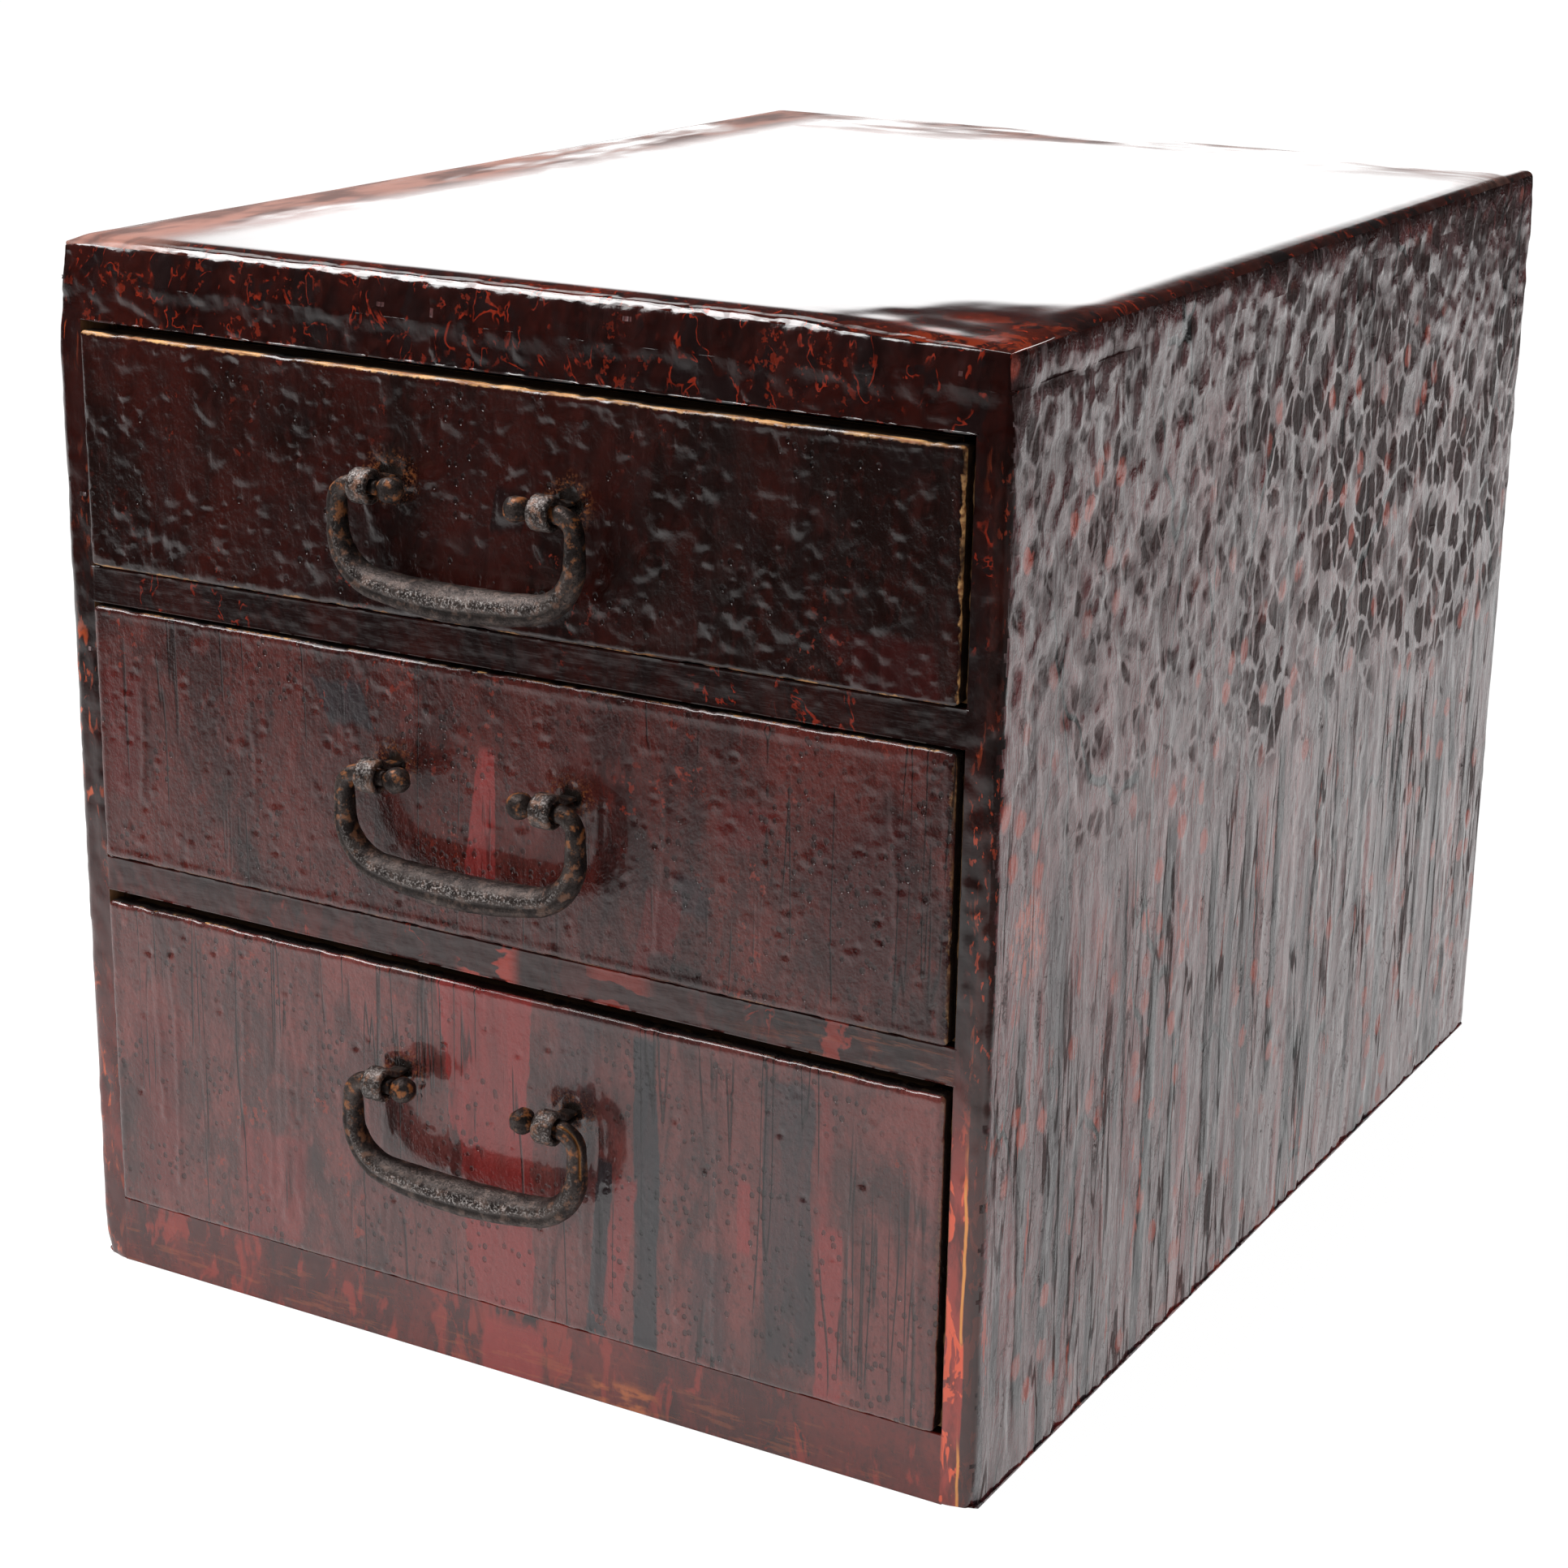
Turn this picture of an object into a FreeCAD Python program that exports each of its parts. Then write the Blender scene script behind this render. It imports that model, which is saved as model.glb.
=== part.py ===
import FreeCAD, Part
import math
import os

# A small lacquered chest of three inset drawers, each with a forged iron bail handle.
# X runs to the right across the front, Y to the back and Z up. The origin is the middle of the
# whole chest's footprint, handles included, on the surface that the chest stands on.
# Lengths are in millimetres and angles in degrees.

sizes = {
    # the case
    "case_width": 316,
    "case_depth": 430,
    "side_thickness": 11,
    "top_thickness": 13,
    "back_thickness": 9,
    "floor_thickness": 9,
    "corner_radius": 5,
    "top_edge_radius": 6,
    # the front frame, from the bottom up; the upper rail leans, its right end higher
    "bottom_rail_height": 22,
    "rail_height": 11.4,
    "top_rail_height": 12,
    "rail_depth": 26,
    "rail_lean": 2.4,
    "tenon_length": 5,
    "tenon_shoulder": 2.5,
    "groove_depth": 3,
    "runner_width": 13,
    "runner_height": 9,
    # the drawers
    "top_drawer_height": 70.3,
    "middle_drawer_height": 81.4,
    "bottom_drawer_height": 102,
    "top_drawer_gap": 2.4,
    "middle_drawer_gap": 0.5,
    "bottom_drawer_gap": 2.7,
    "drawer_left_gap": 0.6,
    "drawer_right_gap": 1.6,
    "running_gap": 0.3,
    "drawer_proud": 2,
    "drawer_back_gap": 8,
    "front_thickness": 13,
    "front_rebate": 7,
    "front_edge_radius": 1.5,
    "wall_thickness": 7,
    "wall_drop": 6,
    "drawer_floor": 6,
    # the split-pin eyes that carry the handles
    "top_eye_drop": 31,
    "middle_eye_drop": 33.2,
    "bottom_eye_drop": 33,
    "handle_offset": 5.5,
    "eye_spacing": 60,
    "strap_width": 7,
    "strap_thickness": 2.2,
    "eye_standoff": 10,
    "eye_play": 0.3,
    "leg_thickness": 3,
    "clench_length": 13,
    # the bails
    "pin_diameter": 5,
    "side_play": 0.6,
    "knob_diameter": 8.4,
    "knob_neck": 1.2,
    "bail_drop": 29.5,
    "bail_height": 11,
    "bail_thickness": 10.6,
    "bail_end": 6,
    "shoulder_radius": 5.5,
    # the wooden pegs
    "peg_diameter": 3,
    "peg_length": 24,
    "drawer_peg_length": 16,
    "peg_inset": 34,
    "overrun": 1,
}

# Shapes of the bail: shares of its drop, of its own thickness and of a right angle.
corner_share = 0.52
bow_share = 0.09
flat_share = 0.42
station_share = 1 / 11

doc = FreeCAD.newDocument("Chest")
sheet = doc.addObject("Spreadsheet::Sheet", "Sizes")
for row, (alias, value) in enumerate(sizes.items(), start=1):
    sheet.set(f"A{row}", alias)
    sheet.set(f"B{row}", str(value))
    sheet.setAlias(f"B{row}", alias)
doc.recompute()


def size(alias):
    """The sheet's value, for shapes that are worked out in code."""
    return float(sheet.get(alias))


def add(*terms):
    """An expression that adds up its terms."""
    return "(" + " + ".join(terms) + ")"


def cell(alias):
    return "Sizes." + alias


def less(alias):
    return "-Sizes." + alias


# Places that several pieces share, as expressions on the sheet.
inner_width = "(Sizes.case_width - 2 * Sizes.side_thickness)"
outer_left = "(-Sizes.case_width / 2)"
outer_right = "(Sizes.case_width / 2)"
inner_left = add(outer_left, cell("side_thickness"))
inner_right = add(outer_right, less("side_thickness"))
reach = "(Sizes.drawer_proud + Sizes.eye_standoff + max(Sizes.bail_thickness / 2; {0}))".format(
    "Sizes.pin_diameter / 2 + Sizes.eye_play + Sizes.strap_thickness")
front_face = add("(" + reach + " - Sizes.case_depth) / 2")
back_face = add(front_face, cell("case_depth"))
drawer_face = add(front_face, less("drawer_proud"))
bottom_opening = cell("bottom_rail_height")
lower_rail_z = add(bottom_opening, cell("running_gap"), cell("bottom_drawer_height"),
                   cell("bottom_drawer_gap"))
middle_opening = add(lower_rail_z, cell("rail_height"))
upper_rail_z = add(middle_opening, cell("running_gap"), cell("middle_drawer_height"),
                   cell("middle_drawer_gap"))
top_opening = add(upper_rail_z, cell("rail_height"))
top_rail_z = add(top_opening, cell("running_gap"), cell("top_drawer_height"),
                 cell("top_drawer_gap"))
top_board_z = add(top_rail_z, cell("top_rail_height"))
half_lean = "(Sizes.rail_lean / 2)"


def place(item, spot):
    """Bind an item's place to three expressions."""
    for axis, expression in zip("xyz", spot):
        item.setExpression("Placement.Base." + axis, expression)


def new_body(label):
    body = doc.addObject("PartDesign::Body", label)
    body.Label = label
    return body


def block(body, lengths, spot, cut=False):
    """A box in a body, or a box cut from it, with its low corner at the spot."""
    kind = "PartDesign::SubtractiveBox" if cut else "PartDesign::AdditiveBox"
    box = body.newObject(kind, "Cut" if cut else "Board")
    for name, expression in zip(("Length", "Width", "Height"), lengths):
        box.setExpression(name, expression)
    place(box, spot)
    return box


def bore(body, diameter, depth, spot, turn=None):
    """A round hole that starts at the spot and runs up, or along the turned axis."""
    hole = body.newObject("PartDesign::SubtractiveCylinder", "Bore")
    hole.setExpression("Radius", f"{cell(diameter)} / 2")
    hole.setExpression("Height", depth)
    if turn:
        hole.Placement = FreeCAD.Placement(FreeCAD.Vector(), turn)
    place(hole, spot)
    return hole


def round_edges(body, radius, wanted):
    """Round the edges of the body's tip whose middle point and direction are wanted."""
    doc.recompute()
    base = body.Tip
    names = []
    for number, edge in enumerate(base.Shape.Edges, start=1):
        middle = edge.valueAt((edge.FirstParameter + edge.LastParameter) / 2)
        along = edge.tangentAt(edge.FirstParameter)
        if wanted(middle, along, base.Shape.BoundBox):
            names.append(f"Edge{number}")
    fillet = body.newObject("PartDesign::Fillet", "Round")
    fillet.Base = (base, names)
    fillet.setExpression("Radius", cell(radius))
    return fillet


# Two faces or edges nearer than this, in millimetres, count as lying in one plane.
touch = 1e-5
# Where the pegs of the back and of the drawers sit, as shares of the height that they hold.
back_peg_shares = (0.25, 0.5, 0.75)
drawer_peg_shares = (0.3, 0.55, 0.8)
along_x = FreeCAD.Rotation(FreeCAD.Vector(0, 1, 0), 90)
along_y = FreeCAD.Rotation(FreeCAD.Vector(1, 0, 0), -90)


# Pegs of the case: down through the top into the sides, and in through the sides into the
# floor and the back.
def peg_rows():
    """Each peg of the case: its outer end, its turn and the boards that it holds."""
    rows = []
    first = add(front_face, cell("peg_inset"))
    last = add(back_face, less("peg_inset"))
    middle = f"(({first} + {last}) / 2)"
    floor_z = add(bottom_opening, "-Sizes.floor_thickness / 2")
    back_y = add(back_face, "-Sizes.back_thickness / 2")
    for side, edge, sign in (("left_side", outer_left, ""), ("right_side", outer_right, "-")):
        board_x = add(edge, f"{sign}Sizes.side_thickness / 2")
        start_x = edge if side == "left_side" else add(edge, less("peg_length"))
        for y in (first, middle, last):
            top_z = add(top_board_z, cell("top_thickness"), less("peg_length"))
            rows.append((("top_board", side), (board_x, y, top_z), None))
            rows.append((("bottom_board", side), (start_x, y, floor_z), along_x))
        for share in back_peg_shares:
            z = f"({top_board_z} * {share})"
            rows.append((("back_board", side), (start_x, back_y, z), along_x))
    return rows


case_pegs = peg_rows()


def bore_for_pegs(body):
    for holds, spot, turn in case_pegs:
        if body.Label in holds:
            bore(body, "peg_diameter", cell("peg_length"), spot, turn)


# The case
def top_board():
    body = new_body("top_board")
    block(body, (cell("case_width"), cell("case_depth"), cell("top_thickness")),
          (outer_left, front_face, top_board_z))
    round_edges(body, "corner_radius", lambda middle, along, box: abs(along.z) > 0.99)
    round_edges(body, "top_edge_radius", lambda middle, along, box: middle.z > box.ZMax - touch)
    bore_for_pegs(body)


def rail_places():
    """The four rails: label, low edge, height and lean."""
    return (("bottom_rail", "0", cell("bottom_rail_height"), "0"),
            ("lower_rail", lower_rail_z, cell("rail_height"), "0"),
            ("upper_rail", upper_rail_z, cell("rail_height"), half_lean),
            ("top_rail", top_rail_z, cell("top_rail_height"), "0"))


def tenon(body, edge, low, height, lean, cut=False):
    """A rail's stub tenon, or the mortise that takes it, on the side whose inner face is edge."""
    start = add(edge, less("tenon_length")) if edge == inner_left else edge
    rise = add(low, cell("tenon_shoulder"), ("-" if edge == inner_left else "") + lean)
    block(body, (cell("tenon_length"), "(Sizes.rail_depth - 2 * Sizes.tenon_shoulder)",
                 f"({height} - 2 * Sizes.tenon_shoulder)"),
          (start, add(front_face, cell("tenon_shoulder")), rise), cut)


def rails():
    for label, low, height, lean in rail_places():
        body = new_body(label)
        # A wedge lies with its own Y along the rail, so that its two ends can differ in height.
        beam = body.newObject("PartDesign::AdditiveWedge", "Beam")
        bounds = {"Xmin": "0", "X2min": "0", "Xmax": cell("rail_depth"),
                  "X2max": cell("rail_depth"), "Ymin": "0", "Ymax": inner_width,
                  "Zmin": f"(-{lean})", "Zmax": f"({height} - {lean})",
                  "Z2min": lean, "Z2max": f"({height} + {lean})"}
        for name, expression in bounds.items():
            beam.setExpression(name, expression)
        beam.Placement = FreeCAD.Placement(FreeCAD.Vector(),
                                           FreeCAD.Rotation(FreeCAD.Vector(0, 0, 1), -90))
        place(beam, (inner_left, add(front_face, cell("rail_depth")), low))
        for edge in (inner_left, inner_right):
            tenon(body, edge, low, height, lean)


def sides():
    for label, start, edge, bevel in (("left_side", outer_left, inner_left, -1),
                                      ("right_side", inner_right, inner_right, 1)):
        body = new_body(label)
        block(body, (cell("side_thickness"), cell("case_depth"), top_board_z),
              (start, front_face, "0"))
        round_edges(body, "corner_radius",
                    lambda middle, along, box: abs(along.z) > 0.99 and middle.x * bevel
                    > max(abs(box.XMin), abs(box.XMax)) - touch)
        for _, low, height, lean in rail_places():
            tenon(body, edge, low, height, lean, cut=True)
        groove_x = add(edge, less("groove_depth")) if bevel < 0 else edge
        block(body, (cell("groove_depth"), f"({back_face} - {front_face} - Sizes.rail_depth)",
                     cell("floor_thickness")),
              (groove_x, add(front_face, cell("rail_depth")),
               add(bottom_opening, less("floor_thickness"))), cut=True)
        block(body, (cell("groove_depth"), cell("back_thickness"), top_board_z),
              (groove_x, add(back_face, less("back_thickness")), "0"), cut=True)
        bore_for_pegs(body)


def bottom_board():
    body = new_body("bottom_board")
    block(body, (add(inner_width, "2 * Sizes.groove_depth"),
                 f"({back_face} - {front_face} - Sizes.rail_depth - Sizes.back_thickness)",
                 cell("floor_thickness")),
          (add(inner_left, less("groove_depth")), add(front_face, cell("rail_depth")),
           add(bottom_opening, less("floor_thickness"))))
    bore_for_pegs(body)


def back_board():
    body = new_body("back_board")
    block(body, (add(inner_width, "2 * Sizes.groove_depth"), cell("back_thickness"), top_board_z),
          (add(inner_left, less("groove_depth")), add(back_face, less("back_thickness")), "0"))
    bore_for_pegs(body)


def runners():
    """Strips behind the two middle rails, level with the highest point of the rail's top."""
    length = f"({back_face} - {front_face} - Sizes.rail_depth - Sizes.back_thickness)"
    for name, opening, lean in (("lower", middle_opening, "0"), ("upper", top_opening, half_lean)):
        for hand, x in (("left", inner_left), ("right", add(inner_right, less("runner_width")))):
            strip = doc.addObject("Part::Box", f"{name}_runner_{hand}")
            strip.Label = f"{name}_runner_{hand}"
            strip.setExpression("Length", cell("runner_width"))
            strip.setExpression("Width", length)
            strip.setExpression("Height", cell("runner_height"))
            place(strip, (x, add(front_face, cell("rail_depth")),
                          add(opening, lean, less("runner_height"))))


def peg_group(label, pegs, length):
    """Pegs that share a node: cylinders in one compound."""
    parts = []
    for spot, turn in pegs:
        peg = doc.addObject("Part::Cylinder", "Peg")
        peg.setExpression("Radius", "Sizes.peg_diameter / 2")
        peg.setExpression("Height", cell(length))
        if turn:
            peg.Placement = FreeCAD.Placement(FreeCAD.Vector(), turn)
        place(peg, spot)
        parts.append(peg)
    group = doc.addObject("Part::Compound", label)
    group.Label = label
    group.Links = parts


# The drawers
drawer_left = add(inner_left, cell("drawer_left_gap"))
drawer_right = add(inner_right, less("drawer_right_gap"))
drawer_width = f"({drawer_right} - {drawer_left})"
front_back = add(drawer_face, cell("front_thickness"))
wall_back = add(back_face, less("back_thickness"), less("drawer_back_gap"))
wall_length = f"({wall_back} - {front_back} + Sizes.front_rebate)"
eye_centre = "(-Sizes.handle_offset)"


def drawer_front(name, low, height, low_lean, high_lean, eye_z):
    """A board whose lower or upper edge follows the leaning rail, rebated for the walls."""
    body = new_body(f"{name}_drawer_front")
    board = body.newObject("PartDesign::AdditiveWedge", "Board")
    bounds = {"Xmin": "0", "X2min": "0", "Xmax": cell("front_thickness"),
              "X2max": cell("front_thickness"), "Ymin": "0", "Ymax": drawer_width,
              "Zmin": f"(-{low_lean})", "Zmax": f"({height} - {high_lean})",
              "Z2min": low_lean, "Z2max": f"({height} + {high_lean})"}
    for bound, expression in bounds.items():
        board.setExpression(bound, expression)
    board.Placement = FreeCAD.Placement(FreeCAD.Vector(),
                                        FreeCAD.Rotation(FreeCAD.Vector(0, 0, 1), -90))
    place(board, (drawer_left, front_back, low))
    round_edges(body, "front_edge_radius",
                lambda middle, along, box: middle.y < box.YMin + touch)
    rebate = (cell("wall_thickness"), cell("front_rebate"),
              f"({height} + 2 * Sizes.rail_lean + 2 * Sizes.overrun)")
    rebate_z = add(low, less("rail_lean"), less("overrun"))
    rebate_y = add(front_back, less("front_rebate"))
    block(body, rebate, (drawer_left, rebate_y, rebate_z), cut=True)
    block(body, rebate, (add(drawer_right, less("wall_thickness")), rebate_y, rebate_z), cut=True)
    floor_rise = add(low_lean, cell("drawer_floor"), cell("overrun"))
    block(body, (drawer_width, cell("front_rebate"), f"({floor_rise} + {low_lean})"),
          (drawer_left, rebate_y, add(low, f"(-{low_lean})", less("overrun"))), cut=True)
    for sign in ("-", ""):
        block(body, (cell("strap_width"), add(cell("front_thickness"), "2 * Sizes.overrun"),
                     cell("leg_thickness")),
              (add(eye_centre, f"{sign}Sizes.eye_spacing / 2", "-Sizes.strap_width / 2"),
               add(drawer_face, less("overrun")), add(eye_z, "-Sizes.leg_thickness / 2")),
              cut=True)
    for spot, turn in drawer_pegs(low, height):
        bore(body, "peg_diameter", cell("drawer_peg_length"), spot, turn)
    return body


def drawer_pegs(low, height):
    """Pegs driven in from both sides, through the walls into the front."""
    pegs = []
    y = add(front_back, "-Sizes.front_rebate / 2")
    for share in drawer_peg_shares:
        z = add(low, f"{height} * {share}")
        pegs.append(((drawer_left, y, z), along_x))
        pegs.append(((add(drawer_right, less("drawer_peg_length")), y, z), along_x))
    return pegs


def drawer_box(name, low, height, lean):
    """The two walls, the back and the floor, which ride clear of the rail's highest point."""
    floor_z = add(low, lean)
    wall_z = add(floor_z, cell("drawer_floor"))
    wall_height = f"({height} - Sizes.wall_drop - Sizes.drawer_floor - {lean})"
    wall_y = add(front_back, less("front_rebate"))
    for hand, x in (("left", drawer_left), ("right", add(drawer_right, less("wall_thickness")))):
        body = new_body(f"{name}_drawer_wall_{hand}")
        block(body, (cell("wall_thickness"), wall_length, wall_height), (x, wall_y, wall_z))
        for spot, turn in drawer_pegs(low, height):
            if (hand == "left") == (spot[0] == drawer_left):
                bore(body, "peg_diameter", cell("drawer_peg_length"), spot, turn)
    body = new_body(f"{name}_drawer_back")
    block(body, (f"({drawer_width} - 2 * Sizes.wall_thickness)", cell("wall_thickness"),
                 wall_height),
          (add(drawer_left, cell("wall_thickness")), add(wall_back, less("wall_thickness")),
           wall_z))
    body = new_body(f"{name}_drawer_bottom")
    block(body, (drawer_width, wall_length, cell("drawer_floor")), (drawer_left, wall_y, floor_z))


# The handles
def eye(label, x, z):
    """A strap bent round the bail's pin, its two legs driven through and clenched inside."""
    bore_radius = size("pin_diameter") / 2 + size("eye_play")
    ring_radius = bore_radius + size("strap_thickness")
    half_leg = size("leg_thickness") / 2
    inside = size("front_thickness") + size("eye_standoff")
    back = inside + half_leg
    tip = half_leg + size("clench_length")
    neck = math.sqrt(ring_radius ** 2 - half_leg ** 2)
    body = new_body(label)
    sketch = body.newObject("Sketcher::SketchObject", "Profile")
    plane = [item for item in body.Origin.OriginFeatures if item.Role == "YZ_Plane"][0]
    sketch.AttachmentSupport = (plane, "")
    sketch.MapMode = "FlatFace"
    corners = [(neck, half_leg), (inside, half_leg), (inside, tip), (back, tip),
               (back, -tip), (inside, -tip), (inside, -half_leg), (neck, -half_leg)]
    points = [FreeCAD.Vector(y, up, 0) for y, up in corners]
    for first, second in zip(points, points[1:]):
        sketch.addGeometry(Part.LineSegment(first, second))
    sketch.addGeometry(Part.Arc(points[-1], FreeCAD.Vector(-ring_radius, 0, 0), points[0]))
    sketch.addGeometry(Part.Circle(FreeCAD.Vector(), FreeCAD.Vector(0, 0, 1), bore_radius))
    pad = body.newObject("PartDesign::Pad", "Strap")
    pad.Profile = sketch
    pad.Midplane = True
    pad.setExpression("Length", cell("strap_width"))
    place(body, (x, add(drawer_face, less("eye_standoff")), z))


def bail_line(share):
    """The centre line from the middle of the grip (0) to the pin (1): place and direction."""
    drop = size("bail_drop")
    corner = drop * corner_share
    shoulder = size("shoulder_radius")
    bow = math.radians(90 * bow_share)
    pin_start = size("eye_spacing") / 2 + size("strap_width") / 2 + size("side_play")
    half = pin_start + shoulder
    bow_radius = (half - corner * (1 - math.sin(bow))) / math.sin(bow)
    side = drop - shoulder - bow_radius * (1 - math.cos(bow)) - corner * math.cos(bow)
    lengths = [bow_radius * bow, corner * (math.pi / 2 - bow), side, shoulder * math.pi / 2]
    left = share * sum(lengths)
    x, z, angle = 0.0, -drop, 0.0
    for length, radius in zip(lengths, (bow_radius, corner, None, shoulder)):
        step = min(left, length)
        if radius:
            turned = angle + step / radius
            x += radius * (math.sin(turned) - math.sin(angle))
            z += radius * (math.cos(angle) - math.cos(turned))
            angle = turned
        else:
            z += step
        left -= step
        if left <= 0:
            break
    return x, z, angle


def bail_section(share, mirror):
    """An eight-sided section that thins from the grip to the pin."""
    x, z, angle = bail_line(share)
    fade = math.cos(math.pi / 2 * min(1.0, share / (1 - station_share))) ** 1.5
    end = size("pin_diameter") + (size("bail_end") - size("pin_diameter")) * (share < 1)
    half_height = (end + (size("bail_height") - end) * fade) / 2
    half_depth = (end + (size("bail_thickness") - end) * fade) / 2
    corners = []
    for across, deep in ((1, flat_share), (flat_share, 1), (-flat_share, 1), (-1, flat_share),
                         (-1, -flat_share), (-flat_share, -1), (flat_share, -1),
                         (1, -flat_share)):
        offset = across * half_height
        corners.append(FreeCAD.Vector(mirror * (x - offset * math.sin(angle)),
                                      deep * half_depth, z + offset * math.cos(angle)))
    return Part.makePolygon(corners + corners[:1])


def bail_shape():
    """The grip and its two curled ends as one loft, with a pin and a knob at each end."""
    steps = round(1 / station_share)
    sections = [bail_section(step / steps, -1) for step in range(steps, 0, -1)]
    sections += [bail_section(step / steps, 1) for step in range(steps + 1)]
    grip = Part.makeLoft(sections, True, False)
    pin_start = size("eye_spacing") / 2 + size("strap_width") / 2 + size("side_play")
    knob_radius = size("knob_diameter") / 2
    knob_x = (size("eye_spacing") / 2 - size("strap_width") / 2 - size("knob_neck")
              - knob_radius)
    ends = []
    for sign in (-1, 1):
        start = FreeCAD.Vector(sign * knob_x, 0, 0)
        along = FreeCAD.Vector(sign, 0, 0)
        ends.append(Part.makeCylinder(size("pin_diameter") / 2, pin_start - knob_x, start, along))
        ends.append(Part.makeSphere(knob_radius, start))
    return grip.fuse(ends).removeSplitter()


def bail(label, z):
    item = doc.addObject("Part::Feature", label)
    item.Label = label
    item.Shape = bail_shape()
    place(item, (eye_centre, add(drawer_face, less("eye_standoff")), z))


def drawers():
    rows = (("top", top_opening, half_lean, "0"), ("middle", middle_opening, "0", half_lean),
            ("bottom", bottom_opening, "0", "0"))
    for name, opening, low_lean, high_lean in rows:
        low = add(opening, cell("running_gap"))
        height = cell(f"{name}_drawer_height")
        eye_z = add(low, height, less(f"{name}_eye_drop"))
        drawer_front(name, low, height, low_lean, high_lean, eye_z)
        drawer_box(name, low, height, low_lean)
        peg_group(f"{name}_drawer_pegs", drawer_pegs(low, height), "drawer_peg_length")
        for hand, sign in (("left", "-"), ("right", "")):
            eye(f"{name}_eye_{hand}", add(eye_centre, f"{sign}Sizes.eye_spacing / 2"), eye_z)
        bail(f"{name}_bail", eye_z)


top_board()
rails()
sides()
bottom_board()
back_board()
runners()
peg_group("case_pegs", [(spot, turn) for _, spot, turn in case_pegs], "peg_length")
drawers()
doc.recompute()

# Nothing is written unless every piece is sound.
for item in doc.Objects:
    if "Invalid" in item.State or "Error" in item.State:
        raise RuntimeError(f"{item.Label} did not build: {item.State}")
kinds = ("PartDesign::Body", "Part::Box", "Part::Compound", "Part::Feature")
pieces = [item for item in doc.Objects if item.TypeId in kinds]
os.makedirs("parts", exist_ok=True)
for piece in pieces:
    if piece.Shape.isNull() or not piece.Shape.isValid():
        raise RuntimeError(f"{piece.Label} has no sound shape")
for piece in pieces:
    piece.Shape.exportStep(f"parts/{piece.Label}.step")
    print(piece.Label, len(piece.Shape.Solids), round(piece.Shape.Volume, 1))
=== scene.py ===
import math
import bpy
import numpy as np
from mathutils import Matrix, Vector


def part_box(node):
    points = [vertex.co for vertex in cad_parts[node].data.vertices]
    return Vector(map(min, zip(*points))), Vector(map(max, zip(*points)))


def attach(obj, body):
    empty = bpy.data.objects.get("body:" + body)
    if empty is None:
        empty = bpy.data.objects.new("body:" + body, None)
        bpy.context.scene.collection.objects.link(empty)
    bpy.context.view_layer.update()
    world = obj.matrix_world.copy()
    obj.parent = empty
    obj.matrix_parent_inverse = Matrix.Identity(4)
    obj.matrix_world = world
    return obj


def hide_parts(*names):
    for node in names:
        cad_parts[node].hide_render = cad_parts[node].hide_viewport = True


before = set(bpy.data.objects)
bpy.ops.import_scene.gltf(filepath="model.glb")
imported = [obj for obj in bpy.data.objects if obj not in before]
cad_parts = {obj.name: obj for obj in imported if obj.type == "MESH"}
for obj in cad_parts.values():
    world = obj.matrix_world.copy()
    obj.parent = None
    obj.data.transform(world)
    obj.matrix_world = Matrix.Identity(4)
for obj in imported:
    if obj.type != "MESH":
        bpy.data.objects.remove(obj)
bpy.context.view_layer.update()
mm = 0.001
coarse = 1.0
print("frame loaded")

# The case in mm: half its width, half its opening, half a rail's length, its depth, and what makes y a depth.
halfCase, halfOpening, halfRail = 158, 147, 147.6
caseDepth, toDepth = 430, 206.35


# Camera: its place in mm, and how it is turned, in degrees.
camera = {"at": (500.1, -929.6, 472.7), "azimuth": 29.354, "elevation": 17.969, "roll": 0.977, "lens": 74.4}


def makeCamera():
    turn, rise, roll = (math.radians(camera[key]) for key in ("azimuth", "elevation", "roll"))
    ahead = Vector((-math.sin(turn) * math.cos(rise), math.cos(turn) * math.cos(rise), -math.sin(rise)))
    level = ahead.cross(Vector((0, 0, 1))).normalized()
    right = level * math.cos(roll) + level.cross(ahead) * math.sin(roll)
    data = bpy.data.cameras.new("camera")
    data.lens = camera["lens"]
    data.sensor_width = 36
    data.clip_start = 0.01
    view = bpy.data.objects.new("camera", data)
    view.matrix_world = Matrix((right, right.cross(ahead), -ahead)).transposed().to_4x4()
    view.location = Vector(camera["at"]) * mm
    bpy.context.scene.collection.objects.link(view)
    bpy.context.scene.camera = view


makeCamera()
print("camera placed")


# Noise on arrays of points, with cells about one unit wide. A seed always gives the same pattern.
def scatter(cellU, cellV, seed):
    mixed = (cellU.astype(np.int64) * 374761393 + cellV.astype(np.int64) * 668265263 + seed * 974634777)
    mixed = mixed & 0xFFFFFFFF
    mixed = ((mixed ^ (mixed >> 13)) * 1274126177) & 0xFFFFFFFF
    mixed = ((mixed ^ (mixed >> 16)) * 1103515245) & 0xFFFFFFFF
    return ((mixed ^ (mixed >> 15)) & 0xFFFFFF) / float(0xFFFFFF)


def wave(u, v, seed):
    cellU, cellV = np.floor(u), np.floor(v)
    partU, partV = u - cellU, v - cellV
    partU = partU ** 3 * (partU * (partU * 6 - 15) + 10)
    partV = partV ** 3 * (partV * (partV * 6 - 15) + 10)
    below = scatter(cellU, cellV, seed) * (1 - partU) + scatter(cellU + 1, cellV, seed) * partU
    above = scatter(cellU, cellV + 1, seed) * (1 - partU) + scatter(cellU + 1, cellV + 1, seed) * partU
    return (below * (1 - partV) + above * partV) * 2 - 1


def waves(u, v, seed, layers=3):
    total = sum(wave(u * 2 ** k, v * 2 ** k, seed + k) / 2 ** k for k in range(layers))
    return total / (2 - 0.5 ** (layers - 1))


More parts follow.
